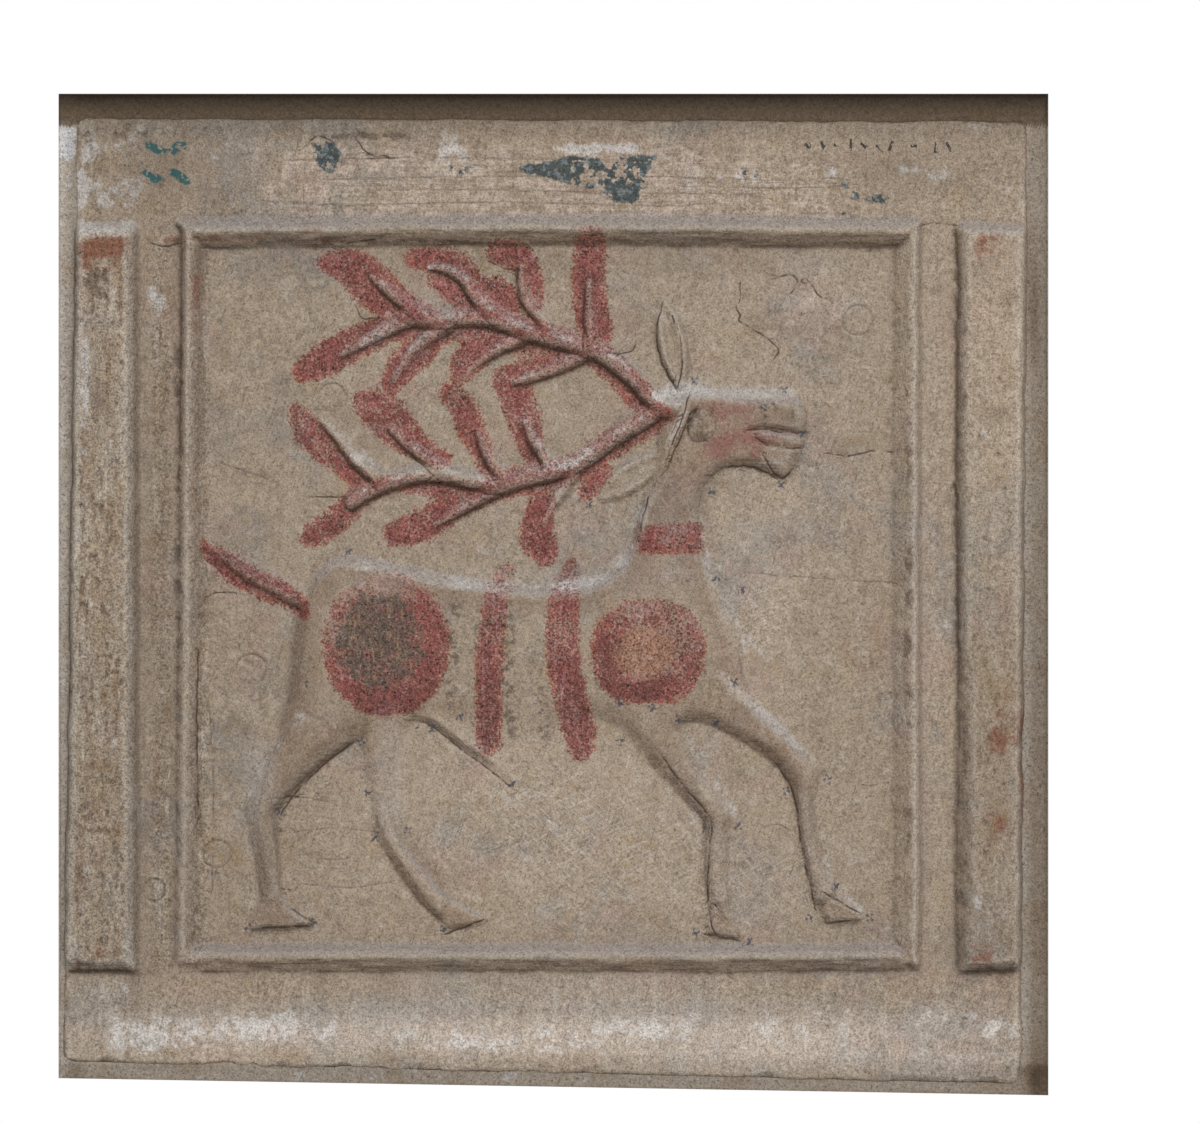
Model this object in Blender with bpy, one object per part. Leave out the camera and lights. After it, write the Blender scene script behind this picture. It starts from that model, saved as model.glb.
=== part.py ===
# Terracotta wall plaque with a walking stag in low relief, bedded in a shallow
# plaster tray. Metres, +Z up. The face looks towards -Y and the back is the plane
# y = 0. Everything is drawn upright in x and y, with z as the height above the
# back, and one empty turns that drawing to face -Y.

import math

import bmesh
import bpy

# Fired slab
PLAQUE_WIDTH = 0.4517
PLAQUE_HEIGHT = 0.4511
PLAQUE_THICKNESS = 0.034  # from its back to the ground of the rails
PLAQUE_CORNER_RADIUS = 0.0045
PLAQUE_EDGE_RADIUS = 0.002
# the hand-pressed slab is out of square: how far each corner lies off the rectangle
TOP_LEFT_DRIFT = (0.0034, 0.0007)
TOP_RIGHT_DRIFT = (0.0016, -0.0007)
BOTTOM_RIGHT_DRIFT = (-0.0015, -0.0056)
BOTTOM_LEFT_DRIFT = (-0.0034, 0.0055)

# Raised strips along both sides
STRIP_WIDTH = 0.03325
STRIP_RISE = 0.0070
STRIP_SHOULDER = 0.0055
STRIP_EDGE_INSET = 0.0009
STRIP_ABOVE_PANEL = 0.0070
STRIP_BELOW_PANEL = 0.0133
CRACK_RADIUS = 0.0010
CRACK_LENGTH = 0.2200
CRACK_SWAY = (0, 0.0002, 0.0004, -0.0001, 0.0001, 0.0002, -0.0004, 0.0003, 0.0001)

# Sunk panel and the bead round it, between the strips
FLAT_WIDTH = 0.0165  # flat ground between the bead and a strip
BEAD_WIDTH = 0.0130
BEAD_RISE = 0.0050
BEAD_LEAN = 0.0030  # the left side of the bead swings out by this at its foot
PANEL_WIDTH = PLAQUE_WIDTH - 2 * (STRIP_WIDTH + FLAT_WIDTH + BEAD_WIDTH)
PANEL_HEIGHT = 0.3295
PANEL_CENTRE = (0.0005, 0.0005)
PANEL_SINK = 0.0015

# Stag, drawn on a grid of squares from the panel's lower left corner
FIGURE_CLEARANCE = 0.0071  # mean space between the stag's ends and the bead
FIGURE_LENGTH = PANEL_WIDTH - 2 * FIGURE_CLEARANCE  # tail tip to front toe
FIGURE_SQUARES = 660  # squares in that length
FIGURE_MIDDLE = (335, 344)  # the square at the middle of the figure
FIGURE_SHIFT = (-0.0062, -0.0049)  # from the panel's centre to that square
SQUARE = FIGURE_LENGTH / FIGURE_SQUARES
BODY_RISE = 0.0046
BODY_EDGE = 6.3 * SQUARE
FAR_LEG_RISE = 0.0038
BEAM_HALF_WIDTH = 9.1 * SQUARE
TINE_HALF_WIDTH = 8.0 * SQUARE
TIP_HALF_WIDTH = 3.4 * SQUARE
ANTLER_SWELL = 0.90  # height of a branch over its half width
JAW_HALF_WIDTH = 14.4 * SQUARE
JAW_SWELL = 0.55
EAR_RISE = 0.0034
EAR_HOLLOW = 0.0016
EYE_RADIUS = 13.5 * SQUARE
EYE_RISE = 0.0009
HOOF_RISE = 0.0030
GROOVE_RADIUS = 1.7 * SQUARE

# Plaster tray
SETTING_GAP = 0.0003
TRAY_BACK = 0.012  # plaster behind the plaque
MARGIN_LEFT = 0.0015
MARGIN_RIGHT = 0.0095
MARGIN_TOP = 0.0114
MARGIN_BOTTOM_LEFT = 0.0075
MARGIN_BOTTOM_RIGHT = 0.0045
MARGIN_DEPTH = 0.0032  # the margin's floor lies this far behind the rails
LIP_WIDTH = 0.0006
LIP_RISE = 0.0010  # outer lip above the rails' ground
LIP_CORNER_RADIUS = 0.0005

# Fineness of the curves
CORNER_STEPS = 4
COVE_STEPS = 4
TUBE_RESOLUTION = 2
PATH_RESOLUTION = 3
OUTLINE_STEPS = 2
ROOT_DEPTH = 0.006  # how deep a raised form is rooted in the slab
LIMB_BED = 0.0003  # a branch's middle lies this far under the panel, so it rises at an angle
GROOVE_LIFT = 0.00025  # a groove's middle lies this far above the face that it cuts
OVERSHOOT = 0.004  # how far a cutter stands past what it cuts

# Levels above the back
PLAQUE_FOOT = TRAY_BACK + SETTING_GAP
GROUND = PLAQUE_FOOT + PLAQUE_THICKNESS
PANEL_LEVEL = GROUND - PANEL_SINK
LIMB_LEVEL = PANEL_LEVEL - LIMB_BED
LIP_LEVEL = GROUND + LIP_RISE
MARGIN_LEVEL = GROUND - MARGIN_DEPTH


def clear_scene():
    for obj in list(bpy.data.objects):
        bpy.data.objects.remove(obj)


def new_collection(name):
    collection = bpy.data.collections.new(name)
    bpy.context.scene.collection.children.link(collection)
    return collection


def material(name, colour, roughness):
    finish = bpy.data.materials.new(name)
    finish.use_nodes = True
    shader = finish.node_tree.nodes["Principled BSDF"]
    shader.inputs["Base Color"].default_value = (*colour, 1)
    shader.inputs["Roughness"].default_value = roughness
    shader.inputs["Metallic"].default_value = 0
    return finish


def on_figure(point):
    # a grid square of the stag as a place on the plaque
    u, v = point
    x = PANEL_CENTRE[0] + FIGURE_SHIFT[0] + (u - FIGURE_MIDDLE[0]) * SQUARE
    y = PANEL_CENTRE[1] + FIGURE_SHIFT[1] + (v - FIGURE_MIDDLE[1]) * SQUARE
    return x, y


def figure_path(points):
    return [on_figure(point) for point in points]


def plaque_corners():
    # anticlockwise from the lower left
    half_w = PLAQUE_WIDTH / 2
    half_h = PLAQUE_HEIGHT / 2
    return [
        (-half_w + BOTTOM_LEFT_DRIFT[0], -half_h + BOTTOM_LEFT_DRIFT[1]),
        (half_w + BOTTOM_RIGHT_DRIFT[0], -half_h + BOTTOM_RIGHT_DRIFT[1]),
        (half_w + TOP_RIGHT_DRIFT[0], half_h + TOP_RIGHT_DRIFT[1]),
        (-half_w + TOP_LEFT_DRIFT[0], half_h + TOP_LEFT_DRIFT[1]),
    ]


def tray_corners():
    low_left, low_right, top_right, top_left = plaque_corners()
    left = min(low_left[0], top_left[0]) - MARGIN_LEFT
    right = max(low_right[0], top_right[0]) + MARGIN_RIGHT
    top = max(top_left[1], top_right[1]) + MARGIN_TOP
    return [
        (left, low_left[1] - MARGIN_BOTTOM_LEFT),
        (right, low_right[1] - MARGIN_BOTTOM_RIGHT),
        (right, top),
        (left, top),
    ]


def moved_out(corners, distance):
    # each side of a four-cornered outline moved outwards, corners met again
    result = []
    count = len(corners)
    for i in range(count):
        before, here, after = corners[i - 1], corners[i], corners[(i + 1) % count]
        n1 = outward(before, here)
        n2 = outward(here, after)
        share = distance / (1 + n1[0] * n2[0] + n1[1] * n2[1])
        result.append((here[0] + (n1[0] + n2[0]) * share, here[1] + (n1[1] + n2[1]) * share))
    return result


def outward(start, end):
    dx, dy = end[0] - start[0], end[1] - start[1]
    length = math.hypot(dx, dy)
    return dy / length, -dx / length


def rounded(corners, radius):
    # near-square corners turned into short arcs of CORNER_STEPS pieces
    loop = []
    count = len(corners)
    for i in range(count):
        before, here, after = corners[i - 1], corners[i], corners[(i + 1) % count]
        n1 = outward(before, here)
        n2 = outward(here, after)
        share = radius / (1 + n1[0] * n2[0] + n1[1] * n2[1])
        cx = here[0] - (n1[0] + n2[0]) * share
        cy = here[1] - (n1[1] + n2[1]) * share
        first = math.atan2(n1[1], n1[0])
        turn = (math.atan2(n2[1], n2[0]) - first) % (2 * math.pi)
        for k in range(CORNER_STEPS + 1):
            angle = first + turn * k / CORNER_STEPS
            loop.append((cx + radius * math.cos(angle), cy + radius * math.sin(angle)))
    return loop


def smooth_loop(points):
    # a closed curve through the points, OUTLINE_STEPS pieces between each two
    loop = []
    count = len(points)
    for i in range(count):
        p0, p1, p2, p3 = (points[(i + k - 1) % count] for k in range(4))
        for step in range(OUTLINE_STEPS):
            t = step / OUTLINE_STEPS
            loop.append(tuple(
                0.5 * (2 * b + (c - a) * t + (2 * a - 5 * b + 4 * c - d) * t * t
                       + (3 * b - a - 3 * c + d) * t * t * t)
                for a, b, c, d in zip(p0, p1, p2, p3)
            ))
    return loop


def leaf(base, tip, half_width):
    # a pointed ear: two arcs that meet at the tip and at the base
    dx, dy = tip[0] - base[0], tip[1] - base[1]
    length = math.hypot(dx, dy)
    steps = 2 * CORNER_STEPS
    side = []
    for k in range(steps + 1):
        t = k / steps
        side.append((t * length, half_width * math.sin(math.pi * t)))
    loop = side + [(along, -across) for along, across in reversed(side[1:-1])]
    loop.reverse()
    return [
        (base[0] + (along * dx - across * dy) / length, base[1] + (along * dy + across * dx) / length)
        for along, across in loop
    ]


def as_mesh(curve_object, collection, merge=0.00001):
    # the curve's evaluated shape as a mesh object with its caps welded
    bpy.context.view_layer.update()
    depsgraph = bpy.context.evaluated_depsgraph_get()
    mesh = bpy.data.meshes.new_from_object(curve_object.evaluated_get(depsgraph))
    welded = bmesh.new()
    welded.from_mesh(mesh)
    bmesh.ops.remove_doubles(welded, verts=welded.verts, dist=merge)
    bmesh.ops.recalc_face_normals(welded, faces=welded.faces)
    welded.to_mesh(mesh)
    welded.free()
    name = curve_object.name
    place = curve_object.matrix_world.copy()
    bpy.data.objects.remove(curve_object)
    obj = bpy.data.objects.new(name, mesh)
    collection.objects.link(obj)
    obj.matrix_world = place
    return obj


def plate(name, loops, back, front, edge, collection):
    # a flat outline from level back to level front, its rims rounded by edge
    curve = bpy.data.curves.new(name, "CURVE")
    curve.dimensions = "2D"
    curve.fill_mode = "BOTH"
    curve.extrude = (front - back) / 2 - edge
    curve.bevel_depth = edge
    curve.bevel_resolution = 1
    curve.offset = -edge
    for loop in loops:
        spline = curve.splines.new("POLY")
        spline.points.add(len(loop) - 1)
        for point, (x, y) in zip(spline.points, loop):
            point.co = (x, y, 0, 1)
        spline.use_cyclic_u = True
    obj = bpy.data.objects.new(name, curve)
    obj.location.z = (front + back) / 2
    collection.objects.link(obj)
    return as_mesh(obj, collection)


def limb(name, path, half_widths, swell, collection, level=LIMB_LEVEL):
    # a tapering rounded branch along a smooth path, half of it below the level
    curve = bpy.data.curves.new(name, "CURVE")
    curve.dimensions = "3D"
    curve.bevel_depth = 1
    curve.bevel_resolution = TUBE_RESOLUTION
    curve.resolution_u = PATH_RESOLUTION
    curve.use_fill_caps = True
    spline = curve.splines.new("BEZIER")
    spline.bezier_points.add(len(path) - 1)
    for point, place, half_width in zip(spline.bezier_points, path, half_widths):
        point.co = (*place, 0)
        point.handle_left_type = "AUTO"
        point.handle_right_type = "AUTO"
        point.radius = half_width
    obj = bpy.data.objects.new(name, curve)
    obj.location.z = level
    obj.scale.z = swell
    collection.objects.link(obj)
    return as_mesh(obj, collection)


def tapered(path, start, end):
    steps = len(path) - 1
    return [start + (end - start) * k / steps for k in range(steps + 1)]


def make_guides(objects):
    for obj in objects:
        obj.hide_render = True
        obj.display_type = "WIRE"


def boolean(obj, name, operation, collection):
    modifier = obj.modifiers.new(name, "BOOLEAN")
    modifier.operation = operation
    modifier.operand_type = "COLLECTION"
    modifier.collection = collection


def add_frame(raised):
    # the bead round the panel
    half_w = PANEL_WIDTH / 2
    half_h = PANEL_HEIGHT / 2
    cx, cy = PANEL_CENTRE
    inner = [
        (cx - half_w - BEAD_LEAN, cy - half_h),
        (cx + half_w, cy - half_h),
        (cx + half_w, cy + half_h),
        (cx - half_w, cy + half_h),
    ]
    outer = moved_out(inner, BEAD_WIDTH)
    edge = min(BEAD_RISE, BEAD_WIDTH * 0.45)
    plate("bead", [outer, inner[::-1]], GROUND - ROOT_DEPTH, GROUND + BEAD_RISE, edge, raised)

    # a strip along each side, from the flat ground out to the slab's own edge
    low_left, low_right, top_right, top_left = moved_out(plaque_corners(), -STRIP_EDGE_INSET)
    foot = cy - half_h - STRIP_BELOW_PANEL
    head = cy + half_h + STRIP_ABOVE_PANEL
    reach = strip_reach()
    left = [
        (cx - reach, foot),
        (cx - reach, head),
        (along(low_left, top_left, head), head),
        (along(low_left, top_left, foot), foot),
    ]
    right = [
        (along(low_right, top_right, foot), foot),
        (along(low_right, top_right, head), head),
        (cx + reach, head),
        (cx + reach, foot),
    ]
    for name, corners in (("strip_left", left), ("strip_right", right)):
        front = GROUND + STRIP_RISE
        plate(name, [corners], GROUND - ROOT_DEPTH, front, STRIP_SHOULDER, raised)


def strip_reach():
    # from the panel's middle out to the foot of either strip
    return PANEL_WIDTH / 2 + BEAD_WIDTH + FLAT_WIDTH


def along(low, high, y):
    # the x of a slanting side at height y
    return low[0] + (high[0] - low[0]) * (y - low[1]) / (high[1] - low[1])


def add_body(raised):
    back = [
        (104, 352), (122, 382), (146, 393), (200, 384), (250, 372), (300, 365), (360, 362),
        (400, 371), (423, 389), (434, 412), (444, 446), (456, 484), (461, 525), (474, 551),
    ]
    muzzle = [(500, 560), (545, 556), (588, 555), (604, 543), (606, 522), (600, 504), (580, 493)]
    throat = [
        (548, 488), (516, 480), (503, 458), (499, 430), (503, 402), (515, 368), (534, 330),
        (542, 300), (542, 274),
    ]
    front_leg_near = [
        (556, 248), (580, 225), (603, 203), (618, 182), (618, 164), (615, 146), (618, 120),
        (622, 98), (628, 77), (636, 60), (632, 49), (622, 46), (613, 51), (611, 68), (605, 97),
        (600, 125), (597, 148), (588, 171), (569, 192), (545, 208), (516, 224), (490, 230),
        (480, 222),
    ]
    front_leg_far = [
        (490, 197), (507, 172), (522, 153), (532, 134), (529, 112), (529, 82), (531, 56),
        (528, 45), (519, 41), (510, 45), (508, 60), (507, 80), (507, 105), (506, 126),
        (495, 142), (478, 158), (451, 187), (425, 218), (408, 230),
    ]
    belly = [(360, 226), (300, 225), (240, 229), (200, 227), (170, 219)]
    hind_leg_near = [
        (146, 204), (125, 190), (103, 172), (85, 153), (74, 136), (75, 118), (77, 100), (79, 78),
        (81, 60), (79, 47), (70, 43), (62, 47), (61, 62), (57, 85), (53, 108), (48, 130),
        (47, 150), (53, 172), (68, 196), (84, 226), (92, 265), (95, 310),
    ]
    outline = back + muzzle + throat + front_leg_near + front_leg_far + belly + hind_leg_near
    hind_leg_far = [
        (180, 250), (212, 240), (204, 212), (196, 179), (193, 141), (199, 113), (215, 90),
        (236, 65), (249, 52), (250, 40), (240, 34), (229, 41), (214, 58), (196, 84), (180, 112),
        (174, 141), (167, 180), (163, 219),
    ]
    root = PANEL_LEVEL - ROOT_DEPTH
    loop = smooth_loop(figure_path(outline))[::-1]
    plate("body", [loop], root, PANEL_LEVEL + BODY_RISE, BODY_EDGE, raised)
    loop = smooth_loop(figure_path(hind_leg_far))[::-1]
    plate("hind_leg_far", [loop], root, PANEL_LEVEL + FAR_LEG_RISE, BODY_EDGE, raised)
    jaw = [(530, 500), (560, 494), (578, 486), (588, 470)]
    limb("jaw", figure_path(jaw), tapered(jaw, JAW_HALF_WIDTH, TIP_HALF_WIDTH), JAW_SWELL, raised)
    sheath = [(232, 232), (265, 207), (293, 187), (316, 166)]
    widths = tapered(sheath, TINE_HALF_WIDTH, TIP_HALF_WIDTH / 2)
    limb("sheath", figure_path(sheath), widths, ANTLER_SWELL, raised)
    tail = [(108, 345), (98, 347), (70, 362), (45, 375), (25, 390), (9, 402)]
    widths = tapered(tail, TINE_HALF_WIDTH, TIP_HALF_WIDTH)
    limb("tail", figure_path(tail), widths, ANTLER_SWELL, raised)


def add_hooves(raised):
    hooves = {
        "hind_hoof_near": [(49, 20), (90, 21), (112, 26), (96, 38), (82, 52), (62, 54)],
        "hind_hoof_far": [(246, 22), (270, 24), (293, 31), (270, 40), (254, 50), (236, 40)],
        "front_hoof_far": [(507, 16), (524, 12), (541, 12), (534, 32), (526, 48), (512, 44)],
        "front_hoof_near": [(622, 36), (630, 26), (664, 28), (662, 36), (642, 54), (624, 52)],
    }
    for name, outline in hooves.items():
        front = PANEL_LEVEL + HOOF_RISE
        plate(name, [figure_path(outline)], PANEL_LEVEL - ROOT_DEPTH, front, HOOF_RISE / 2, raised)


def add_antlers(raised):
    beams = {
        "antler_upper": [
            (478, 548), (460, 545), (440, 573), (415, 592), (390, 599), (355, 608), (320, 617),
            (290, 627), (260, 628), (230, 625), (205, 632),
        ],
        "antler_lower": [
            (478, 540), (460, 537), (440, 525), (415, 510), (390, 492), (370, 479), (320, 467),
            (295, 461), (250, 470), (220, 472), (195, 466), (175, 459), (150, 445),
        ],
    }
    tines = [
        [(390, 596), (360, 581), (330, 570), (312, 566)],
        [(330, 613), (300, 600), (280, 588), (263, 573)],
        [(248, 624), (220, 605), (205, 588), (193, 568)],
        [(212, 628), (180, 615), (160, 604), (140, 593)],
        [(390, 600), (388, 630), (388, 665)],
        [(350, 610), (338, 630), (326, 645), (321, 662), (320, 680)],
        [(298, 625), (275, 648), (264, 666), (250, 676), (230, 682)],
        [(232, 626), (205, 642), (185, 658), (170, 673)],
        [(352, 474), (340, 495), (330, 510), (325, 525)],
        [(305, 463), (290, 485), (283, 500), (278, 515)],
        [(247, 470), (225, 488), (205, 504), (190, 520)],
        [(182, 463), (162, 480), (148, 495), (135, 512), (122, 526)],
        [(376, 482), (360, 455), (350, 440), (343, 424)],
        [(302, 461), (275, 447), (255, 435), (235, 424)],
    ]
    for name, path in beams.items():
        widths = tapered(path, BEAM_HALF_WIDTH, TINE_HALF_WIDTH)
        limb(name, figure_path(path), widths, ANTLER_SWELL, raised)
    for number, path in enumerate(tines):
        widths = tapered(path, TINE_HALF_WIDTH, TIP_HALF_WIDTH)
        limb(f"tine_{number}", figure_path(path), widths, ANTLER_SWELL, raised)


def add_head(raised, incised):
    ears = {"ear_upper": ((482, 560), (463, 652), 13), "ear_lower": ((464, 496), (398, 451), 13)}
    for name, (base, tip, half) in ears.items():
        loop = figure_path(leaf(base, tip, half))
        front = PANEL_LEVEL + EAR_RISE
        plate(name, [loop], PANEL_LEVEL - ROOT_DEPTH, front, EAR_RISE / 3, raised)
        inner = leaf(towards(base, tip, 0.16), towards(tip, base, 0.12), half * 0.5)
        plate(f"{name}_hollow", [figure_path(inner)], front - EAR_HOLLOW, front + OVERSHOOT, 0, incised)

    eye = bmesh.new()
    bmesh.ops.create_uvsphere(eye, u_segments=14, v_segments=8, radius=EYE_RADIUS)
    mesh = bpy.data.meshes.new("eye")
    eye.to_mesh(mesh)
    eye.free()
    obj = bpy.data.objects.new("eye", mesh)
    obj.location = (*on_figure((502, 525)), PANEL_LEVEL + BODY_RISE)
    obj.scale.z = EYE_RISE / EYE_RADIUS
    raised.objects.link(obj)

    grooves = {
        "mouth_upper": [(545, 523), (575, 519), (612, 515)],
        "mouth_lower": [(545, 518), (556, 510), (572, 505), (608, 501)],
        "cheek": [(490, 542), (486, 522), (478, 504), (470, 492)],
    }
    for name, path in grooves.items():
        widths = [GROOVE_RADIUS] * len(path)
        limb(name, figure_path(path), widths, 1, incised, PANEL_LEVEL + BODY_RISE + GROOVE_LIFT)


def add_crack(incised):
    # the open crack down the foot of the right strip
    x = PANEL_CENTRE[0] + strip_reach()
    top = PANEL_CENTRE[1] + PANEL_HEIGHT / 2 + STRIP_ABOVE_PANEL - STRIP_SHOULDER
    step = CRACK_LENGTH / (len(CRACK_SWAY) - 1)
    path = [(x + sway, top - step * k) for k, sway in enumerate(CRACK_SWAY)]
    limb("strip_crack", path, [CRACK_RADIUS] * len(path), 1, incised, GROUND + GROOVE_LIFT)


def towards(start, end, share):
    return start[0] + (end[0] - start[0]) * share, start[1] + (end[1] - start[1]) * share


def panel_cutter(sunk):
    # the sunk panel, its sides hidden under the middle of the bead
    half_w = PANEL_WIDTH / 2 + BEAD_WIDTH / 2
    half_h = PANEL_HEIGHT / 2 + BEAD_WIDTH / 2
    cx, cy = PANEL_CENTRE
    loop = [
        (cx - half_w, cy - half_h),
        (cx + half_w, cy - half_h),
        (cx + half_w, cy + half_h),
        (cx - half_w, cy + half_h),
    ]
    plate("sunk_panel", [loop], PANEL_LEVEL, GROUND + OVERSHOOT, 0, sunk)


def make_plaque(part, finish):
    sunk = new_collection("sunk forms")
    raised = new_collection("raised forms")
    incised = new_collection("incised forms")
    loop = rounded(plaque_corners(), PLAQUE_CORNER_RADIUS)
    plaque = plate("relief_plaque", [loop], PLAQUE_FOOT, GROUND, PLAQUE_EDGE_RADIUS, part)
    plaque.data.materials.append(finish)
    panel_cutter(sunk)
    add_frame(raised)
    add_body(raised)
    add_hooves(raised)
    add_antlers(raised)
    add_head(raised, incised)
    add_crack(incised)
    for collection in (sunk, raised, incised):
        make_guides(collection.objects)
    boolean(plaque, "sunk panel", "DIFFERENCE", sunk)
    boolean(plaque, "raised relief", "UNION", raised)
    boolean(plaque, "incised lines", "DIFFERENCE", incised)
    return plaque


def cove_cutter(cutters):
    # a loft from the plaque's outline on the margin's floor to the lip's outline,
    # flat beside the plaque and upright at the lip
    inner = rounded(moved_out(plaque_corners(), SETTING_GAP), PLAQUE_CORNER_RADIUS)
    outer = rounded(moved_out(tray_corners(), -LIP_WIDTH), LIP_CORNER_RADIUS)
    rings = []
    for k in range(COVE_STEPS + 1):
        angle = math.pi / 2 * k / COVE_STEPS
        share = math.sin(angle)
        level = MARGIN_LEVEL + (LIP_LEVEL - MARGIN_LEVEL) * (1 - math.cos(angle))
        rings.append([(*towards(a, b, share), level) for a, b in zip(inner, outer)])
    rings.append([(x, y, LIP_LEVEL + OVERSHOOT) for x, y in outer])
    loft = bmesh.new()
    loops = [[loft.verts.new(place) for place in ring] for ring in rings]
    count = len(inner)
    for lower, upper in zip(loops, loops[1:]):
        for i in range(count):
            j = (i + 1) % count
            loft.faces.new((lower[i], lower[j], upper[j], upper[i]))
    loft.faces.new(loops[0][::-1])
    loft.faces.new(loops[-1])
    bmesh.ops.recalc_face_normals(loft, faces=loft.faces)
    mesh = bpy.data.meshes.new("cove")
    loft.to_mesh(mesh)
    loft.free()
    obj = bpy.data.objects.new("cove", mesh)
    cutters.objects.link(obj)
    return obj


def make_tray(part, finish):
    cutters = new_collection("tray cutters")
    tray = plate("setting_tray", [tray_corners()], 0, LIP_LEVEL, 0, part)
    tray.data.materials.append(finish)
    seat = rounded(moved_out(plaque_corners(), SETTING_GAP), PLAQUE_CORNER_RADIUS)
    plate("seat", [seat], TRAY_BACK, MARGIN_LEVEL + OVERSHOOT, 0, cutters)
    cove_cutter(cutters)
    make_guides(cutters.objects)
    boolean(tray, "seat and cove", "DIFFERENCE", cutters)
    return tray


def main():
    clear_scene()
    part = new_collection("stag relief plaque")
    terracotta = material("terracotta", (0.38, 0.29, 0.19), 0.9)
    plaster = material("setting plaster", (0.33, 0.28, 0.22), 0.85)
    make_plaque(part, terracotta)
    make_tray(part, plaster)
    upright = bpy.data.objects.new("wall_face", None)
    part.objects.link(upright)
    for obj in bpy.data.objects:
        if obj.type == "MESH":
            obj.parent = upright
    upright.rotation_euler.x = math.pi / 2


main()
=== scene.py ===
import math

import bmesh
import bpy
import numpy as np
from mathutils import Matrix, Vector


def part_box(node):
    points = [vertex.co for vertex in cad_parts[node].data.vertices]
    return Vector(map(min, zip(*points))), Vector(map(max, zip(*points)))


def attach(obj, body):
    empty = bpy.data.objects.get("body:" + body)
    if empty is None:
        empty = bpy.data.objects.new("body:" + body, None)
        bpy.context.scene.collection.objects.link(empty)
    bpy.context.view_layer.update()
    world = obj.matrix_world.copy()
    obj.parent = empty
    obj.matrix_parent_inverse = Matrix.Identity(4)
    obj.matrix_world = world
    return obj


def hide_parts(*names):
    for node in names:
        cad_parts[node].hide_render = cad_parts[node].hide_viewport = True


# Painted terracotta plaque with a walking stag, bedded in a plaster setting.
# The face looks towards -Y. Plan sizes on the face are in squares, heights in millimetres.
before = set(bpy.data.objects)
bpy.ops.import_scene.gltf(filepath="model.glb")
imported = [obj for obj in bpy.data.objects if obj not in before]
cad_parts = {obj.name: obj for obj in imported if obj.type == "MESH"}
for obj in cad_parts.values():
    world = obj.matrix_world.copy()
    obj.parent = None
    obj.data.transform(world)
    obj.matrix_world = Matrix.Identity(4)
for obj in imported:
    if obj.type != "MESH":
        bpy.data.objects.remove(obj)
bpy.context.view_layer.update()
print("frame loaded:", ", ".join(sorted(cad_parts)))

# The slab was laid out on squares, counted right and up from the panel's lower left corner.
layout = {
    "square": 0.00047273,  # side of a square in metres
    "corner": (-0.16406, -0.16702),  # x and z of square (0, 0)
}
millimetre = 0.001

slab = {
    "cells": 700,  # cells of the fine grid along a side
    "triangles": 188000,
    "stripRise": 7.0,
    "skin": 0.6,  # thickness under the highest level in which the unevenness is squeezed
    "clear": 0.05,  # millimetres that stay free under the highest level
    "panelSink": 1.5,
    "edgeRound": 4.5,  # squares over which the face rolls over its edge
    "cornerRound": 11.0,
    "ragged": 1.3,  # how far the broken edge wanders, in squares
    "steepest": 3,  # slopes and hollows are kept within this
    "upRight": (0.55, 0.835),  # the side of a raised form that was smoothed down, the other is steep
}
slabLow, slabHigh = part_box("relief_plaque")
footLevel = -slabHigh.y / millimetre
groundLevel = -slabLow.y / millimetre - slab["stripRise"]


def toSquares(x, z):
    u = (x - layout["corner"][0]) / layout["square"]
    v = (z - layout["corner"][1]) / layout["square"]
    return u, v


def toPlace(u, v):
    x = layout["corner"][0] + u * layout["square"]
    z = layout["corner"][1] + v * layout["square"]
    return x, z


def meetCorners(nodeName, radius):
    # the four corners of a node's outline in squares, from its farthest points, low left first
    points = np.array([vert.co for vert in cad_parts[nodeName].data.vertices])
    back = radius * (1 - math.sqrt(0.5))
    corners = []
    for sideX, sideZ in ((-1, -1), (1, -1), (1, 1), (-1, 1)):
        x, _, z = points[np.argmax(points[:, 0] * sideX + points[:, 2] * sideZ)]
        u, v = toSquares(x, z)
        corners.append((u + back * sideX, v + back * sideZ))
    return corners


def onQuad(corners, s, t):
    # a place between four corners: s runs right and t runs up, both from 0 to 1
    (u0, v0), (u1, v1), (u2, v2), (u3, v3) = corners
    u = (u0 * (1 - s) + u1 * s) * (1 - t) + (u3 * (1 - s) + u2 * s) * t
    v = (v0 * (1 - s) + v1 * s) * (1 - t) + (v3 * (1 - s) + v2 * s) * t
    return u, v


# soft random fields and paths, all on arrays of squares


def hills(u, v, size, seed):
    # smooth random hills about one size across, from -1 to 1
    count = 256
    lattice = np.random.default_rng(seed).uniform(-1, 1, (count, count))
    # the offsets keep the lattice's own lines off the middle of the panel
    column, row = u / size + 97.3, v / size + 61.7
    left, low = np.floor(column).astype(int), np.floor(row).astype(int)
    across, up = column - left, row - low
    across, up = across * across * (3 - 2 * across), up * up * (3 - 2 * up)
    left, low, right, high = left % count, low % count, (left + 1) % count, (low + 1) % count
    under = lattice[low, left] * (1 - across) + lattice[low, right] * across
    over = lattice[high, left] * (1 - across) + lattice[high, right] * across
    return under * (1 - up) + over * up


def ease(value, low, high):
    t = np.clip((value - low) / (high - low), 0, 1)
    return t * t * (3 - 2 * t)


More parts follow.
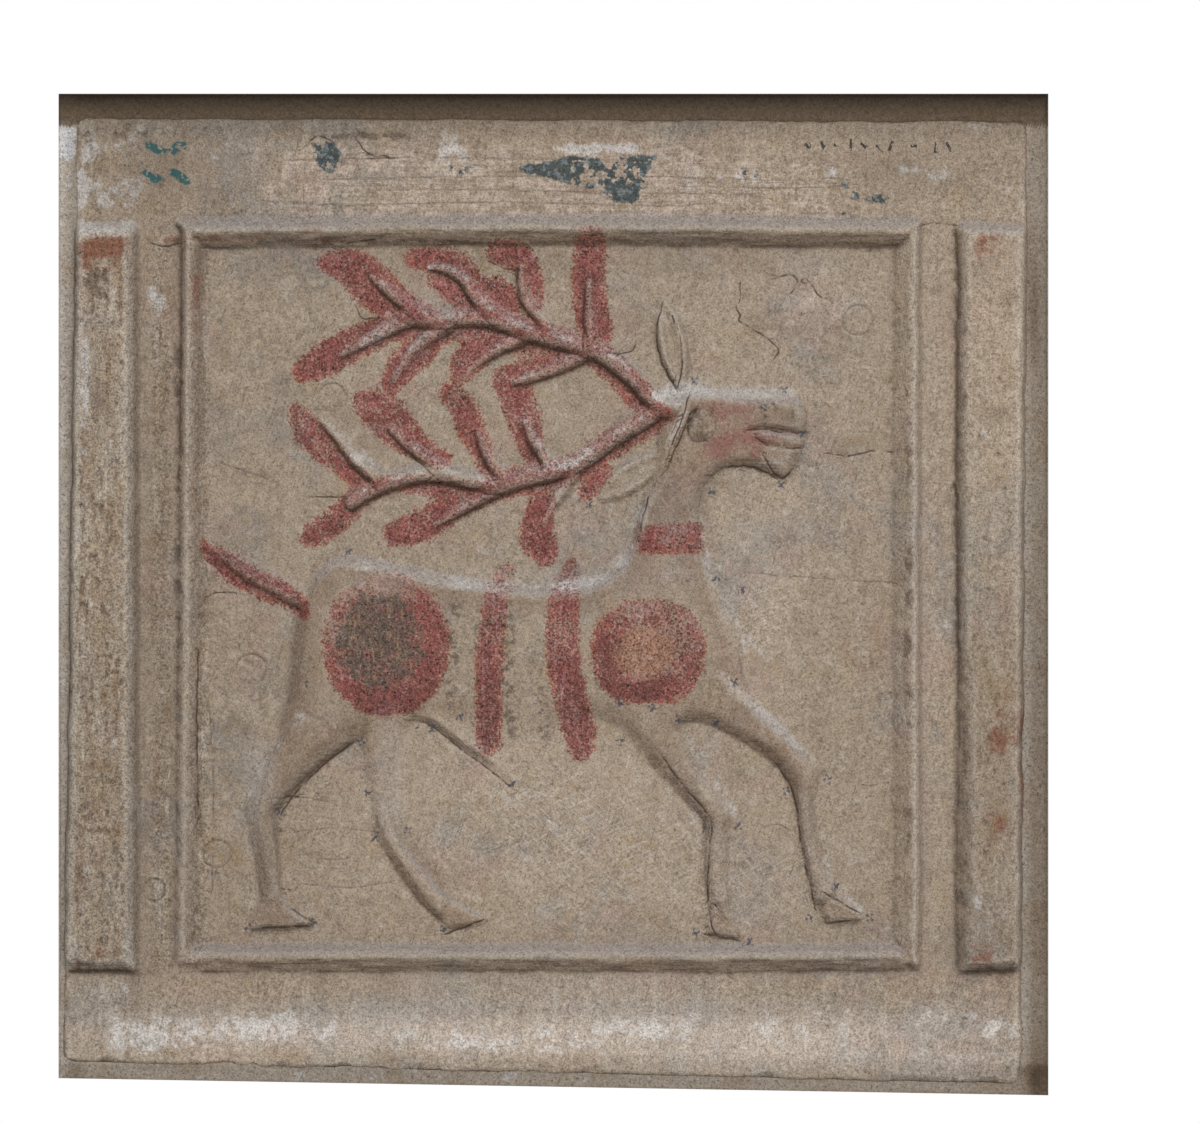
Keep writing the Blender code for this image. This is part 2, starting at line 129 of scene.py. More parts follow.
def smoothPath(points, closed=False, steps=4):
    # a curve through points of any number of values
    points = np.array(points, float)
    if closed:
        around = [np.roll(points, turn, 0) for turn in (1, 0, -1, -2)]
    else:
        first, last = 2 * points[0] - points[1], 2 * points[-1] - points[-2]
        padded = np.vstack([first, points, last])
        around = [padded[:-3], padded[1:-2], padded[2:-1], padded[3:]]
    a, b, c, d = (part[:, None, :] for part in around)
    t = (np.arange(steps) / steps)[None, :, None]
    curve = 0.5 * (2 * b + (c - a) * t + (2 * a - 5 * b + 4 * c - d) * t * t
                   + (3 * b - a - 3 * c + d) * t * t * t)
    curve = curve.reshape(-1, points.shape[1])
    return curve if closed else np.vstack([curve, points[-1]])


def closest(u, v, path, reach):
    # near a path with widths: which places, how far off, the width there, the side, and how far up-right
    low, high = path[:, :2].min(0) - reach, path[:, :2].max(0) + reach
    near = (u > low[0]) & (u < high[0]) & (v > low[1]) & (v < high[1])
    nearU, nearV = u[near], v[near]
    share = np.full(nearU.shape, np.inf)
    off, wide, side, upRight = (share.copy() for _ in range(4))
    for start, end in zip(path, path[1:]):
        run = end[:2] - start[:2]
        t = ((nearU - start[0]) * run[0] + (nearV - start[1]) * run[1]) / max(run @ run, 1e-9)
        t = np.clip(t, 0, 1)
        du, dv = nearU - start[0] - t * run[0], nearV - start[1] - t * run[1]
        away = np.hypot(du, dv)
        width = start[2] + (end[2] - start[2]) * t
        better = away / width < share
        share = np.where(better, away / width, share)
        off, wide = np.where(better, away, off), np.where(better, width, wide)
        side = np.where(better, np.sign(run[0] * dv - run[1] * du) * away, side)
        turned = (du * slab["upRight"][0] + dv * slab["upRight"][1]) / np.maximum(away, 1e-6)
        upRight = np.where(better, turned, upRight)
    return near, off, wide, side, upRight


def strokes(u, v, paths, floor=-14.0):
    # how deep a place lies inside brush strokes, in squares, negative outside
    widest = 22
    depth = np.full(u.shape, floor)
    for points in paths:
        near, off, wide, _, _ = closest(u, v, smoothPath(points), widest - floor)
        depth[near] = np.maximum(depth[near], wide - off)
    return depth


def nearPaths(u, v, paths):
    # 1 on any of the paths, falling off softly over their half widths
    share = np.zeros(u.shape)
    for points in paths:
        near, off, wide, _, _ = closest(u, v, np.array(points, float), 30)
        share[near] = np.maximum(share[near], np.exp(-(off / wide) ** 2))
    return blurred(share, 3)


def insideOutline(u, v, loop, floor=-14.0):
    # how deep a place lies inside a closed outline, in squares, negative outside
    low, high = loop.min(0) + floor, loop.max(0) - floor
    near = (u > low[0]) & (u < high[0]) & (v > low[1]) & (v < high[1])
    nearU, nearV = u[near], v[near]
    away = np.full(nearU.shape, np.inf)
    inside = np.zeros(nearU.shape, bool)
    for start, end in zip(loop, np.roll(loop, -1, 0)):
        run = end - start
        t = ((nearU - start[0]) * run[0] + (nearV - start[1]) * run[1]) / max(run @ run, 1e-9)
        t = np.clip(t, 0, 1)
        away = np.minimum(away, np.hypot(nearU - start[0] - t * run[0], nearV - start[1] - t * run[1]))
        if start[1] != end[1]:
            crosses = (start[1] > nearV) != (end[1] > nearV)
            meets = start[0] + (nearV - start[1]) * run[0] / run[1]
            inside ^= crosses & (nearU < meets)
    depth = np.full(u.shape, floor)
    depth[near] = np.maximum(np.where(inside, away, -away), floor)
    return depth


def blob(u, v, place, size):
    # a soft round spot, 1 in its middle
    wide, tall = size if isinstance(size, tuple) else (size, size)
    return np.exp(-((u - place[0]) / wide) ** 2 - ((v - place[1]) / tall) ** 2)


def areas(u, v, entries):
    # soft-edged areas from their middles, half sizes and strengths
    total = np.zeros(u.shape)
    for a, b, wide, tall, strength in entries:
        total = total + strength * np.exp(-(((u - a) / wide) ** 4) - ((v - b) / tall) ** 4)
    return total


# the relief: what is modelled in the clay

stag = {
    "bodyRise": 4.4,
    "bodyRoll": 16.0,  # squares over which the body rolls down to the panel
    "smoothed": [  # sides worked down softly into the panel: these widen the roll
        [(95, 330, 12), (92, 265, 12), (70, 200, 10), (48, 150, 9), (55, 95, 8), (60, 60, 8)],
        [(160, 222, 8), (172, 165, 9), (180, 115, 9), (212, 60, 9)],
        [(542, 262, 9), (580, 228, 8), (612, 190, 7), (618, 160, 6), (617, 120, 6), (626, 80, 5)],
        [(505, 175, 8), (528, 140, 7), (530, 110, 6), (530, 60, 6)],
        [(500, 226, 9), (545, 206, 9), (572, 188, 7)],
        [(425, 218, 9), (455, 186, 8), (480, 156, 7)],
        [(205, 225, 10), (196, 180, 9), (192, 145, 8)],
    ],
    "cut": [  # sides cut steeply, which narrow it
        [(150, 208, 9), (110, 178, 9), (84, 150, 8), (77, 110, 7), (80, 60, 7)],
        [(500, 130, 5), (506, 100, 5), (507, 60, 5)],
        [(597, 150, 5), (602, 110, 5), (610, 70, 5)],
        [(450, 450, 10), (440, 420, 8)],
    ],
    "farLegRise": 3.8,
    "hoofRise": 2.4,
    "limbRise": 0.90,  # height of a branch over its half width
    "lift": (0.15, 0.28),  # how far a branch's crest lies off its middle, over its half width
    "back": [
        (104, 352), (122, 382), (146, 393), (200, 384), (250, 372), (300, 365), (360, 362),
        (400, 371), (423, 389), (434, 412), (444, 446), (456, 484), (461, 525), (474, 551),
    ],
    "muzzle": [
        (500, 560), (545, 556), (588, 554), (603, 545), (607, 530), (604, 515), (604, 504), (599, 494),
        (594, 483), (586, 473), (576, 475), (562, 480),
    ],
    "throat": [
        (545, 485), (522, 482), (507, 470), (500, 452), (499, 430), (503, 402), (515, 368), (534, 330),
        (542, 300), (542, 274),
    ],
    "frontLegNear": [
        (556, 248), (580, 225), (603, 203), (618, 182), (618, 164), (615, 146), (618, 120),
        (622, 98), (628, 77), (636, 60), (632, 49), (622, 46), (613, 51), (611, 68), (605, 97),
        (600, 125), (597, 148), (588, 171), (569, 192), (545, 208), (516, 224), (490, 230),
        (480, 222),
    ],
    "frontLegFar": [
        (490, 197), (507, 172), (522, 153), (532, 134), (529, 112), (529, 82), (531, 56),
        (528, 45), (519, 41), (510, 45), (508, 60), (507, 80), (507, 105), (506, 126),
        (495, 142), (478, 158), (451, 187), (425, 218), (408, 230),
    ],
    "belly": [(360, 226), (300, 225), (240, 229), (200, 227), (170, 219)],
    "hindLegNear": [
        (146, 204), (125, 190), (103, 172), (85, 153), (74, 136), (75, 118), (77, 100), (79, 78),
        (81, 60), (79, 47), (70, 43), (62, 47), (61, 62), (57, 85), (53, 108), (48, 130),
        (47, 150), (53, 172), (68, 196), (84, 226), (92, 265), (95, 310),
    ],
    "hindLegFar": [
        (180, 250), (212, 240), (204, 212), (196, 179), (193, 141), (199, 113), (215, 90),
        (236, 65), (249, 52), (250, 40), (240, 34), (229, 41), (214, 58), (196, 84), (180, 112),
        (174, 141), (167, 180), (163, 219),
    ],
    "hooves": [
        [(49, 20), (90, 21), (112, 26), (96, 38), (82, 52), (62, 54)],
        [(246, 22), (270, 24), (293, 31), (270, 40), (254, 50), (236, 40)],
        [(507, 16), (524, 12), (541, 12), (534, 32), (526, 48), (512, 44)],
        [(622, 36), (630, 26), (664, 28), (662, 36), (642, 54), (624, 52)],
    ],
    "bellyMiddle": (318, 218),  # where the body sinks softly into the panel
    "swells": [  # soft mounds on the body: place, size, height
        ((186, 306), (66, 62), 0.8), ((452, 298), (58, 54), 0.9), ((505, 518), (34, 24), 0.7),
        ((100, 176), (20, 26), 0.4), ((560, 536), (34, 12), 0.5),
    ],
    "thinLimbs": [  # tail and sheath, with half widths
        [(108, 345, 8), (98, 347, 8), (70, 362, 8), (45, 375, 7), (25, 390, 5), (9, 402, 3)],
        [(206, 236, 5), (232, 232, 7), (265, 207, 6), (293, 187, 4), (316, 166, 2)],
    ],
}

antlers = {
    "beamHalf": (9.1, 8.0),
    "tineHalf": (8.0, 3.4),
    "lineHalf": 2.6,  # half width of the light and the dark line along each branch
    "beams": [
        [
            (472, 535), (456, 541), (436, 563), (412, 584), (388, 597), (355, 606), (320, 616),
            (290, 627), (260, 628), (230, 625), (205, 632),
        ],
        [
            (478, 540), (460, 537), (440, 525), (415, 510), (390, 492), (370, 479), (320, 467),
            (295, 461), (250, 470), (220, 472), (195, 466), (175, 459), (150, 445),
        ],
    ],
    "tines": [
        [(390, 596), (360, 581), (330, 570), (312, 566)],
        [(330, 613), (300, 600), (280, 588), (263, 573)],
        [(248, 624), (220, 605), (205, 588), (193, 568)],
        [(212, 628), (180, 615), (160, 604), (140, 593)],
        [(390, 600), (388, 630), (388, 665)],
        [(350, 610), (338, 630), (326, 645), (321, 662), (320, 680)],
        [(298, 625), (275, 648), (264, 666), (250, 676), (230, 682)],
        [(232, 626), (205, 642), (185, 658), (170, 673)],
        [(352, 474), (340, 495), (330, 510), (325, 525)],
        [(305, 463), (290, 485), (283, 500), (278, 515)],
        [(247, 470), (225, 488), (205, 504), (190, 520)],
        [(182, 463), (162, 480), (148, 495), (135, 512), (122, 526)],
        [(376, 482), (360, 455), (350, 440), (343, 424)],
        [(302, 461), (275, 447), (255, 435), (235, 424)],
    ],
}

head = {
    # base, tip, half width, rise
    "ears": [((482, 560), (463, 652), 13, 3.2), ((464, 496), (398, 451), 13, 2.5)],
    "eye": (502, 525),
    "eyeRadius": 14,
    "grooves": [  # lips, chin and cheek, with half widths
        [(547, 519, 1.6), (560, 522, 2.6), (580, 519, 3.0), (606, 515, 2.2)],
        [(556, 512, 1.4), (565, 506, 1.8), (585, 503, 1.8), (606, 502, 1.4)],
        [(545, 516, 1.0), (550, 509, 1.2), (557, 507, 1.0)],
        [
            (497, 541, 1.6), (487, 525, 2.2), (480, 510, 2.2), (472, 492, 1.8), (464, 478, 1.4),
            (452, 455, 1.0),
        ],
    ],
}


# Hairline cracks in the clay, and the sharp lines along the figure's undercut sides; all are cut as grooves
# and drawn dark, and on the undercut sides the dark line is painted shade too.
cracks = [
    [
        (541, 665), (540, 650), (537, 643), (541, 635), (539, 629), (552, 622), (570, 610), (579, 600),
        (575, 592),
    ],
    [(627, 497), (650, 494), (672, 499), (693, 498)],
    [(436, 608), (433, 600), (420, 596), (398, 598)],
    [(290, 688), (305, 682), (320, 680)],
    [(110, 453), (145, 453)],
    [(157, 642), (162, 632), (175, 632)],
    [(6, 353), (16, 357), (35, 357)],
    [(6, 353), (2, 346)],
    [(719, 723), (736, 727), (755, 725)],
    [(182, 712), (162, 709), (148, 707)],
    [(497, 540), (487, 525), (480, 510), (472, 493), (466, 479), (455, 466), (447, 446), (440, 420)],
    [(565, 493), (571, 481), (582, 472), (591, 479), (596, 483)],
    [(458, 200), (482, 166), (505, 140), (512, 124), (509, 96), (508, 50)],
    [(576, 186), (590, 165), (597, 140), (603, 96), (616, 40)],
    [(80, 134), (95, 156), (120, 182), (152, 206)],
    [(463, 647), (457, 620), (461, 590), (476, 561)],
    [(473, 634), (481, 609), (482, 582), (478, 563)],
    [(489, 553), (482, 530), (472, 505), (463, 480)],
    [(575, 672), (590, 676), (598, 668), (592, 658)],
    [(610, 668), (618, 656), (630, 650)],
    [(206, 230), (228, 226), (258, 203), (288, 181), (314, 160)],
    [(548, 520), (562, 521), (580, 518), (605, 516)],
    [(557, 511), (566, 505), (585, 502), (603, 502)],
    [(522, 482), (545, 484), (561, 480), (578, 471)],
    [(515, 45), (540, 13)],
    [(505, 16), (540, 9)],
    [(510, 35), (512, 24), (518, 12)],
    [(625, 57), (658, 38)],
    [(625, 27), (660, 30)],
    [(85, 45), (112, 28)],
    [(62, 22), (108, 24)],
    [(245, 15), (283, 30)],
    [(-2, 300), (-3, 220), (-2, 130)],
    [(-50, 707), (-35, 704), (-18, 707)],
    [(103, 802), (115, 813), (122, 813), (131, 809)],
    [(155, 812), (168, 797), (190, 793)],
]

# Lines that only just show: of the comb on the top rail, and fine cracks.
faintLines = [
    [(85, 790), (200, 792), (340, 791), (450, 789)],
    [(110, 771), (260, 773), (420, 774), (560, 770), (640, 772)],
    [(180, 760), (300, 760), (420, 757), (560, 756)],
    [(62, 749), (150, 745), (300, 748), (450, 744), (520, 747)],
    [(105, 783), (104, 762), (104, 748), (110, 742)],
    [(480, 764), (600, 762), (660, 766)],
    [(60, 150), (95, 153), (130, 148)],
    [(545, 378), (600, 373), (693, 367)],
    [(96, 118), (140, 122), (186, 116)],
    [(90, 96), (130, 90), (172, 94)],
    [(100, 66), (150, 62), (190, 68)],
    [(24, 486), (50, 478), (78, 468)],
    [(120, 160), (136, 168), (150, 160)],
    [(560, 122), (578, 126), (590, 120)],
    [(640, 170), (665, 164), (690, 168)],
    [(10, 240), (13, 160), (12, 60)],
    [(489, 514), (487, 527), (493, 539), (505, 541), (515, 533), (515, 518), (505, 509), (493, 509)],
]


# Small stamped rings: middle and radius.
rings = [((132, 553), 14), ((658, 630), 15), ((51, 281), 15), ((17, 96), 14), ((-46, 60), 11)]

# The bead round the sunk panel, and the flat raised strip along either side, in squares.
bead = {
    "rise": 5.0,  # millimetres
    "panel": {"left": 3, "right": 693, "top": 703, "low": 6},
    "lean": 6.3,  # how far the panel's left side leans out by its foot
    # crest and outer foot of each side, counted out from the panel: left, right, top, bottom
    "sides": np.array([(14, 22), (22, 29), (17, 31), (11, 27.5)]),
}
strip = {"inner": (-60.5, 755.5), "foot": -22, "head": 718, "shoulder": 12.0}


def raiseBead(u, v):
    panel = bead["panel"]
    panelHigh = panel["top"] - panel["low"]
    leftSide = panel["left"] - bead["lean"] * np.clip((panel["top"] - v) / panelHigh, 0, 1)
    out = np.stack([
        leftSide - u + 0.7 * hills(u, v, 60, 11),
        u - panel["right"] + 1.2 * hills(u, v, 45, 12) + 0.6 * hills(u, v, 9, 14),
        v - panel["top"] + 1.6 * np.sin(u / 150 + 2.4),
        panel["low"] - v + 0.8 * hills(u, v, 60, 13),
    ])
    crest, foot = np.moveaxis(bead["sides"][np.argmax(out, 0)], -1, 0)
    out = out.max(0)
    share = np.where(out < crest, out / crest, (foot - out) / (foot - crest))
    ridge = np.clip(share, 0, 1)
    worn = 1 - 0.35 * ease(6 - u, 0, 8) * ease(560 - v, 0, 120)
    ridge = bead["rise"] * worn * (1.12 * ridge - 0.12 * ridge**3)
    # the steep sides, that face down or left, are torn in layers
    torn = np.where((v > panel["top"] - 3) & (out < crest), 1.0, 0)
    torn = torn + np.where((v < panel["low"]) & (out > crest), 0.8, 0)
    torn = torn * ease(share, 0, 0.2) * ease(1.0 - share, -0.05, 0.15)
    ridge = ridge + torn * (0.75 * hills(u / 9, v, 2.6, 15) + 0.4 * hills(u / 3, v, 1.9, 16))
    sunk = slab["panelSink"] * (1 - ease(out, -1, crest))
    return np.maximum(ridge, 0) - sunk, out


def raiseStrips(u, v, rim):
    foot = v - strip["foot"] + 2 * hills(u, v, 40, 21) + 0.8 * hills(u, v, 7, 24)
    ends = np.minimum(foot, strip["head"] + 8 - v + hills(u, v, 30, 22))
    spread = 1 - 0.36 * ease(330 - v, 0, 60)  # the right strip's slope is wider lower down
    inward = np.maximum(strip["inner"][0] - u, (u - strip["inner"][1]) * spread) + 0.8 * hills(u, v, 50, 23)
    depth = np.minimum(np.minimum(ends, inward + 0.7 * hills(u, v, 8, 25)), (rim - 0.5) * 2.2)
    share = np.clip(depth / strip["shoulder"], 0, 1)
    return (slab["stripRise"] - 0.55) * (1 - (1 - share) ** 1.6), depth


def rollOver(depth, roll, power=2.2):
    return 1 - (1 - np.clip(depth / roll, 0, 1)) ** power


def raiseLimb(height, u, v, points, rise):
    # a rounded branch laid on the panel, smoothed down on one side and steep on the other
    path = smoothPath(points)
    path[:, :2] += path[:, 2:] * np.array(stag["lift"])
    near, off, wide, _, upRight = closest(u, v, path, 20)
    share = off / (wide * np.where(upRight > 0, 1.0 + 0.95 * upRight, 1.0 + 0.12 * upRight))
    power = 0.55 + 0.75 * ease(upRight, -0.4, 0.9)
    raised = np.clip(1 - share * share, 0, 1) ** power
    raised = rise * wide * layout["square"] / millimetre * raised
    height[near] = np.maximum(height[near], raised)


def tapered(points, start, end):
    steps = len(points) - 1
    return [(u, v, start + (end - start) * k / steps) for k, (u, v) in enumerate(points)]


def branches():
    # the middle line of every beam and tine, with half widths
    found = []
    for kind in ("beam", "tine"):
        found += [tapered(points, *antlers[kind + "Half"]) for points in antlers[kind + "s"]]
    return found


def stagDepths(u, v):
    # how deep a place lies in the body, in the far hind leg and in each hoof, in squares
    outline = []
    for part in ("back", "muzzle", "throat", "frontLegNear", "frontLegFar", "belly", "hindLegNear"):
        outline += stag[part]
    loops = [smoothPath(points, closed=True) for points in (outline, stag["hindLegFar"])]
    loops += [np.array(hoof, float) for hoof in stag["hooves"]]
    body, farLeg, *hooves = (insideOutline(u, v, loop) for loop in loops)
    return body, farLeg, hooves


def raiseStag(u, v):
    body, farLeg, hooves = stagDepths(u, v)
    belly = blob(u, v, stag["bellyMiddle"], (115, 52))
    wider, narrower = (nearPaths(u, v, stag[name]) for name in ("smoothed", "cut"))
    roll = stag["bodyRoll"] + 26 * belly + 5 * blob(u, v, (520, 380), (50, 70)) + 13 * wider - 9 * narrower
    height = stag["bodyRise"] * (1 - 0.8 * belly) * rollOver(body + 1.5, roll)
    for place, size, rise in stag["swells"]:
        height += rise * blob(u, v, place, size) * ease(body, 0, 14)
    farLow = 1 - 0.5 * blob(u, v, (192, 185), (40, 50))
    farLegRoll = 13 + 6 * wider - 3 * narrower
    height = np.maximum(height, stag["farLegRise"] * farLow * rollOver(farLeg + 1.5, farLegRoll))
    for hoof in hooves:
        height = np.maximum(height, stag["hoofRise"] * rollOver(hoof + 1, 8))
    for limb in stag["thinLimbs"]:
        raiseLimb(height, u, v, limb, stag["limbRise"] * 0.8)
    for branch in branches():
        raiseLimb(height, u, v, branch, stag["limbRise"])
    for base, tip, half, rise in head["ears"]:
        near, off, wide, _, _ = closest(u, v, earPath(base, tip, half), 16)
        share = off / wide
        lip = np.clip(1 - ((share - 0.78) / 0.34) ** 2, 0, 1)
        bowl = np.where(share < 0.78, 0.34 + 0.66 * lip, lip)
        height[near] = np.maximum(height[near], rise * bowl)
    eyeOff = np.hypot(u - head["eye"][0], v - head["eye"][1]) / head["eyeRadius"]
    height += 0.5 * ease(1 - eyeOff, 0, 0.7) - 0.25 * np.exp(-((eyeOff - 1.1) / 0.2) ** 2)
    for groove in head["grooves"]:
        near, off, wide, _, _ = closest(u, v, smoothPath(groove), 8)
        height[near] -= 0.85 * wide * np.exp(-(off / wide) ** 2)
    return height


def earPath(base, tip, half):
    # the middle line of an ear with the half widths of a leaf
    path = []
    for k in range(13):
        t = k / 12
        u, v = base[0] + (tip[0] - base[0]) * t, base[1] + (tip[1] - base[1]) * t
        path.append((u, v, max(half * math.sin(math.pi * t) ** 0.8, 0.6)))
    return np.array(path)


# Hand-pressed unevenness of the whole face: height in millimetres, size in squares and seed.
unevenness = [(0.40, 120, 31), (0.22, 38, 32), (0.12, 13, 33), (0.09, 5.5, 34), (0.05, 2.8, 35)]

# Upright parts of the face that have weathered in their own way: where their middles are.
weathered = {"leftFlat": -38, "rightFlat": 738, "leftBead": -2, "rightBead": 706}


def upright(u, part, half, soft):
    # 1 along one of the upright parts, fading over its soft edge
    return ease(half - np.abs(u - weathered[part]), 0, soft)


def coarseness(u, v):
    # where the skin of the clay has gone and the coarse body shows
    strips = 0.85 * ease(-58 - u, 0, 10) + 0.35 * ease(u - 758, 0, 12)
    flats = 0.8 * upright(u, "leftFlat", 13, 8) + 0.3 * upright(u, "rightFlat", 12, 8)
    beads = 0.7 * upright(u, "leftBead", 14, 8) + 0.25 * upright(u, "rightBead", 14, 8)
    inside = ease(v, -24, -18) * ease(-v, -724, -716)
    rails = 0.35 * ease(v, 724, 732) + 0.45 * ease(-v, 22, 34)
    return np.clip((strips + flats + beads) * inside + rails, 0, 1)


def roughen(u, v, rim, stripDepth):
    # unevenness, pits, tool marks and chips, in millimetres
    rough = np.zeros(u.shape)
    for rise, size, seed in unevenness:
        rough += rise * hills(u, v, size, seed)
    onStrip = ease(stripDepth, 3, 11)
    pits = ease(hills(u, v * 0.6, 5, 36) + 0.6 * hills(u, v * 0.7, 2.2, 37), 0.35, 1.0)
    streaks = 0.30 * hills(u, v * 0.16, 5, 38) + 0.18 * hills(u, v * 0.3, 2.4, 48)
    rough += onStrip * (streaks - 0.55 * pits + 0.25 * hills(u, v, 18, 49))
    bent = u + 5 * hills(u, v, 12, 64)
    worms = np.abs(hills(bent, v * 0.5, 5.5, 65)) + 0.6 * np.abs(hills(bent, v * 0.7, 2.8, 66))
    rough += 0.42 * coarseness(u, v) * (ease(worms, 0.02, 0.40) - 0.8)
    flats = upright(u, "leftFlat", 8, 12) + upright(u - 2, "rightFlat", 8, 12)
    rough += 0.12 * flats * hills(u, v * 0.2, 3, 50)
    rippled = blob(u, v, (120, 100), (110, 70)) + 0.6 * blob(u, v, (640, 200), (60, 90))
    rough += rippled * (0.16 * hills(u / 3.5, v, 4.5, 77) + 0.09 * hills(u / 3, v, 2.4, 78))
    lowRail = ease(-v, 18, 60)
    rough -= lowRail * 0.28 * ease(hills(u, v, 6, 39) + 0.5 * hills(u, v, 3, 40), 0.2, 1.0)
    rough -= 0.35 * ease(hills(u, v, 9, 57) + 0.6 * hills(u, v, 3.5, 58), 0.75, 1.2)
    # the combed patch on the top rail stands in a thin layer
    patch = combPatch(u, v)
    combed = 0.16 * hills(u / 14, v, 3.4, 41) + 0.10 * hills(u / 7, v, 1.8, 42) + 0.10 * hills(u, v, 9, 59)
    rough += ease(patch, -1, 2) * combed + 0.22 * np.exp(-((patch - 2.5) / 2.2) ** 2)
    # chips along the slab's edges and at its top left corner
    chipped = ease(hills(u, v, 22, 43) + 0.35 * hills(u, v, 6, 44), 0.25, 0.8) * ease(9 - rim, 0, 7)
    rough -= 1.1 * chipped
    corner = blob(u, v, (-80, 816), (34, 13)) + blob(u, v, (-112, 790), (12, 34))
    rough -= 1.1 * corner * ease(hills(u, v, 9, 45) + 0.6 * hills(u, v, 4, 46), -0.2, 0.5)
    # the skin has flaked on the left bead and beside it
    flaked = upright(u, "leftBead", 30, 14) * ease(640 - v, 0, 90) * ease(v - 10, 0, 30)
    rough -= 0.45 * flaked * ease(hills(u, v * 0.6, 7, 47) + 0.5 * hills(u, v, 3, 51), 0.0, 0.5)
    return rough


def combPatch(u, v):
    # depth inside the rough plastered patch on the top rail, in squares
    low = 732 + 3 * hills(u, v * 0, 20, 51)
    high = 800 + 6 * hills(u, v * 0 + 40, 45, 52) + 5 * hills(u, v * 0, 14, 53) - 14 * ease(u, 470, 560)
    left = 60 + 22 * ease(v, 764, 770) + 3 * hills(u * 0, v, 16, 54)
    right = 612 + 26 * hills(u * 0, v, 22, 55)
    sides = np.minimum(np.minimum(v - low, high - v), np.minimum(u - left, right - u))
    return sides + 1.5 * hills(u, v, 5, 56)


def cutLines(height, u, v):
    side, near = crackLines(u, v)
    height -= 0.45 * near * np.exp(-(side / 1.1) ** 2)
    for place, radius in rings:
        off = np.hypot(u - place[0], v - place[1]) - radius
        height -= 0.45 * np.exp(-(off / 1.5) ** 2) - 0.30 * np.exp(-((off - 3) / 2) ** 2)
    # a deep crack along the foot of the right strip
    sway = 756.5 + 2.6 * hills(u * 0, v, 34, 61) + 1.6 * hills(u * 0, v, 9, 62)
    along = ease(v, 235, 262) * ease(722 - v, 0, 8)
    torn = 0.50 + 0.50 * ease(hills(u * 0, v, 13, 67) + 0.7 * hills(u * 0, v, 4, 68), -0.5, 0.4)
    height -= 1.5 * along * torn * np.exp(-((u - sway) / (0.9 + 0.9 * torn)) ** 2)


def footLine(points, out):
    # the foot of a branch on its steep side, out half widths from its crest
    path = smoothPath(points, steps=2)
    run = np.gradient(path[:, :2], axis=0)
    across = np.stack([run[:, 1], -run[:, 0]], 1) / np.hypot(*run.T)[:, None]
    facing = across @ np.array(slab["upRight"])
    across *= -np.sign(facing)[:, None]
    foot = path[:, :2] + path[:, 2:] * (np.array(stag["lift"]) + out * across)
    return foot[np.abs(facing) > 0.3]


def branchFeet(out):
    # the feet of all branches that are long enough to have one
    feet = (footLine(branch, out) for branch in branches())
    return [foot for foot in feet if len(foot) > 3]


def sheenPaths():
    # the light side of every branch, with half widths
    found = []
    for branch in branches():
        path = smoothPath(branch, steps=2)
        path[:, :2] += path[:, 2:] * 0.75 * np.array(slab["upRight"])
        path[:, 2] = antlers["lineHalf"]
        found.append(path)
    return found


def linePaths():
    # every line in the clay with how strongly it shows; the lines at the branches' feet are painted shade in
    # their undercuts
    found = [(points, 1.0) for points in cracks] + [(points, 0.45) for points in faintLines]
    for (a, b), radius in rings:
        turns = np.linspace(0, 2 * math.pi, 12)
        circle = [(a + radius * math.cos(turn), b + radius * math.sin(turn)) for turn in turns]
        found.append((circle, 0.36))
    return found + [(foot, 0.75) for foot in branchFeet(0.95)]


def crackLines(u, v):
    # the signed distance to the nearest crack in squares, and 1 where one is near
    side = np.full(u.shape, 9.0)
    near = np.zeros(u.shape)
    for points, strength in linePaths():
        path = smoothPath([(a, b, 1.0) for a, b in points], steps=3)
        where, off, _, signed, _ = closest(u, v, path, 6)
        better = off < np.abs(side[where])
        side[where] = np.where(better, signed, side[where])
        near[where] = np.maximum(near[where], strength * ease(6.5 - off, 0, 1.5))
    return side + 0.8 * hills(u, v, 6, 63), near


def blurred(field, reach):
    # mean over a square window, twice, for a soft result; each pass turns the field over
    window = 2 * reach + 1
    for _ in range(4):
        total = np.cumsum(np.pad(field, ((reach + 1, reach), (0, 0)), mode="edge"), axis=0)
        field = ((total[window:] - total[:-window]) / window).T
    return field


def slabPlan(s, t, corners):
    # squares of the slab's outline and face from s and t, with round corners and a ragged edge
    u, v = onQuad(corners, s, t)
    wide, tall = corners[1][0] - corners[0][0], corners[3][1] - corners[0][1]
    fromSide = np.minimum(s, 1 - s) * wide
    fromEnd = np.minimum(t, 1 - t) * tall
    r = slab["cornerRound"]
    p, q = np.clip(r - fromSide, 0, r), np.clip(r - fromEnd, 0, r)
    pull = (p > 0) & (q > 0)
    newP = np.where(pull, p * np.sqrt(1 - q * q / (2 * r * r)), p)
    newQ = np.where(pull, q * np.sqrt(1 - p * p / (2 * r * r)), q)
    u = u - np.sign(s - 0.5) * (p - newP)
    v = v - np.sign(t - 0.5) * (q - newQ)
    rim = np.minimum(fromSide, fromEnd)
    fade = ease(24 - rim, 0, 24)
    low = 1 + (1.6 - 2.0 * ease(s, 0.3, 0.6)) * ease(0.5 - t, 0, 0.4)
    inU = slab["ragged"] * (hills(u, v, 26, 71) + 0.5 * hills(u, v, 8, 72)) + 0.6
    inV = slab["ragged"] * low * (hills(u, v, 30, 73) + 0.5 * hills(u, v, 8, 74)) + 0.6
    u = u - np.sign(s - 0.5) * np.maximum(inU, 0) * fade * ease(30 - fromSide, 0, 30)
    v = v - np.sign(t - 0.5) * np.maximum(inV, 0) * fade * ease(30 - fromEnd, 0, 30)
    return u, v, rim


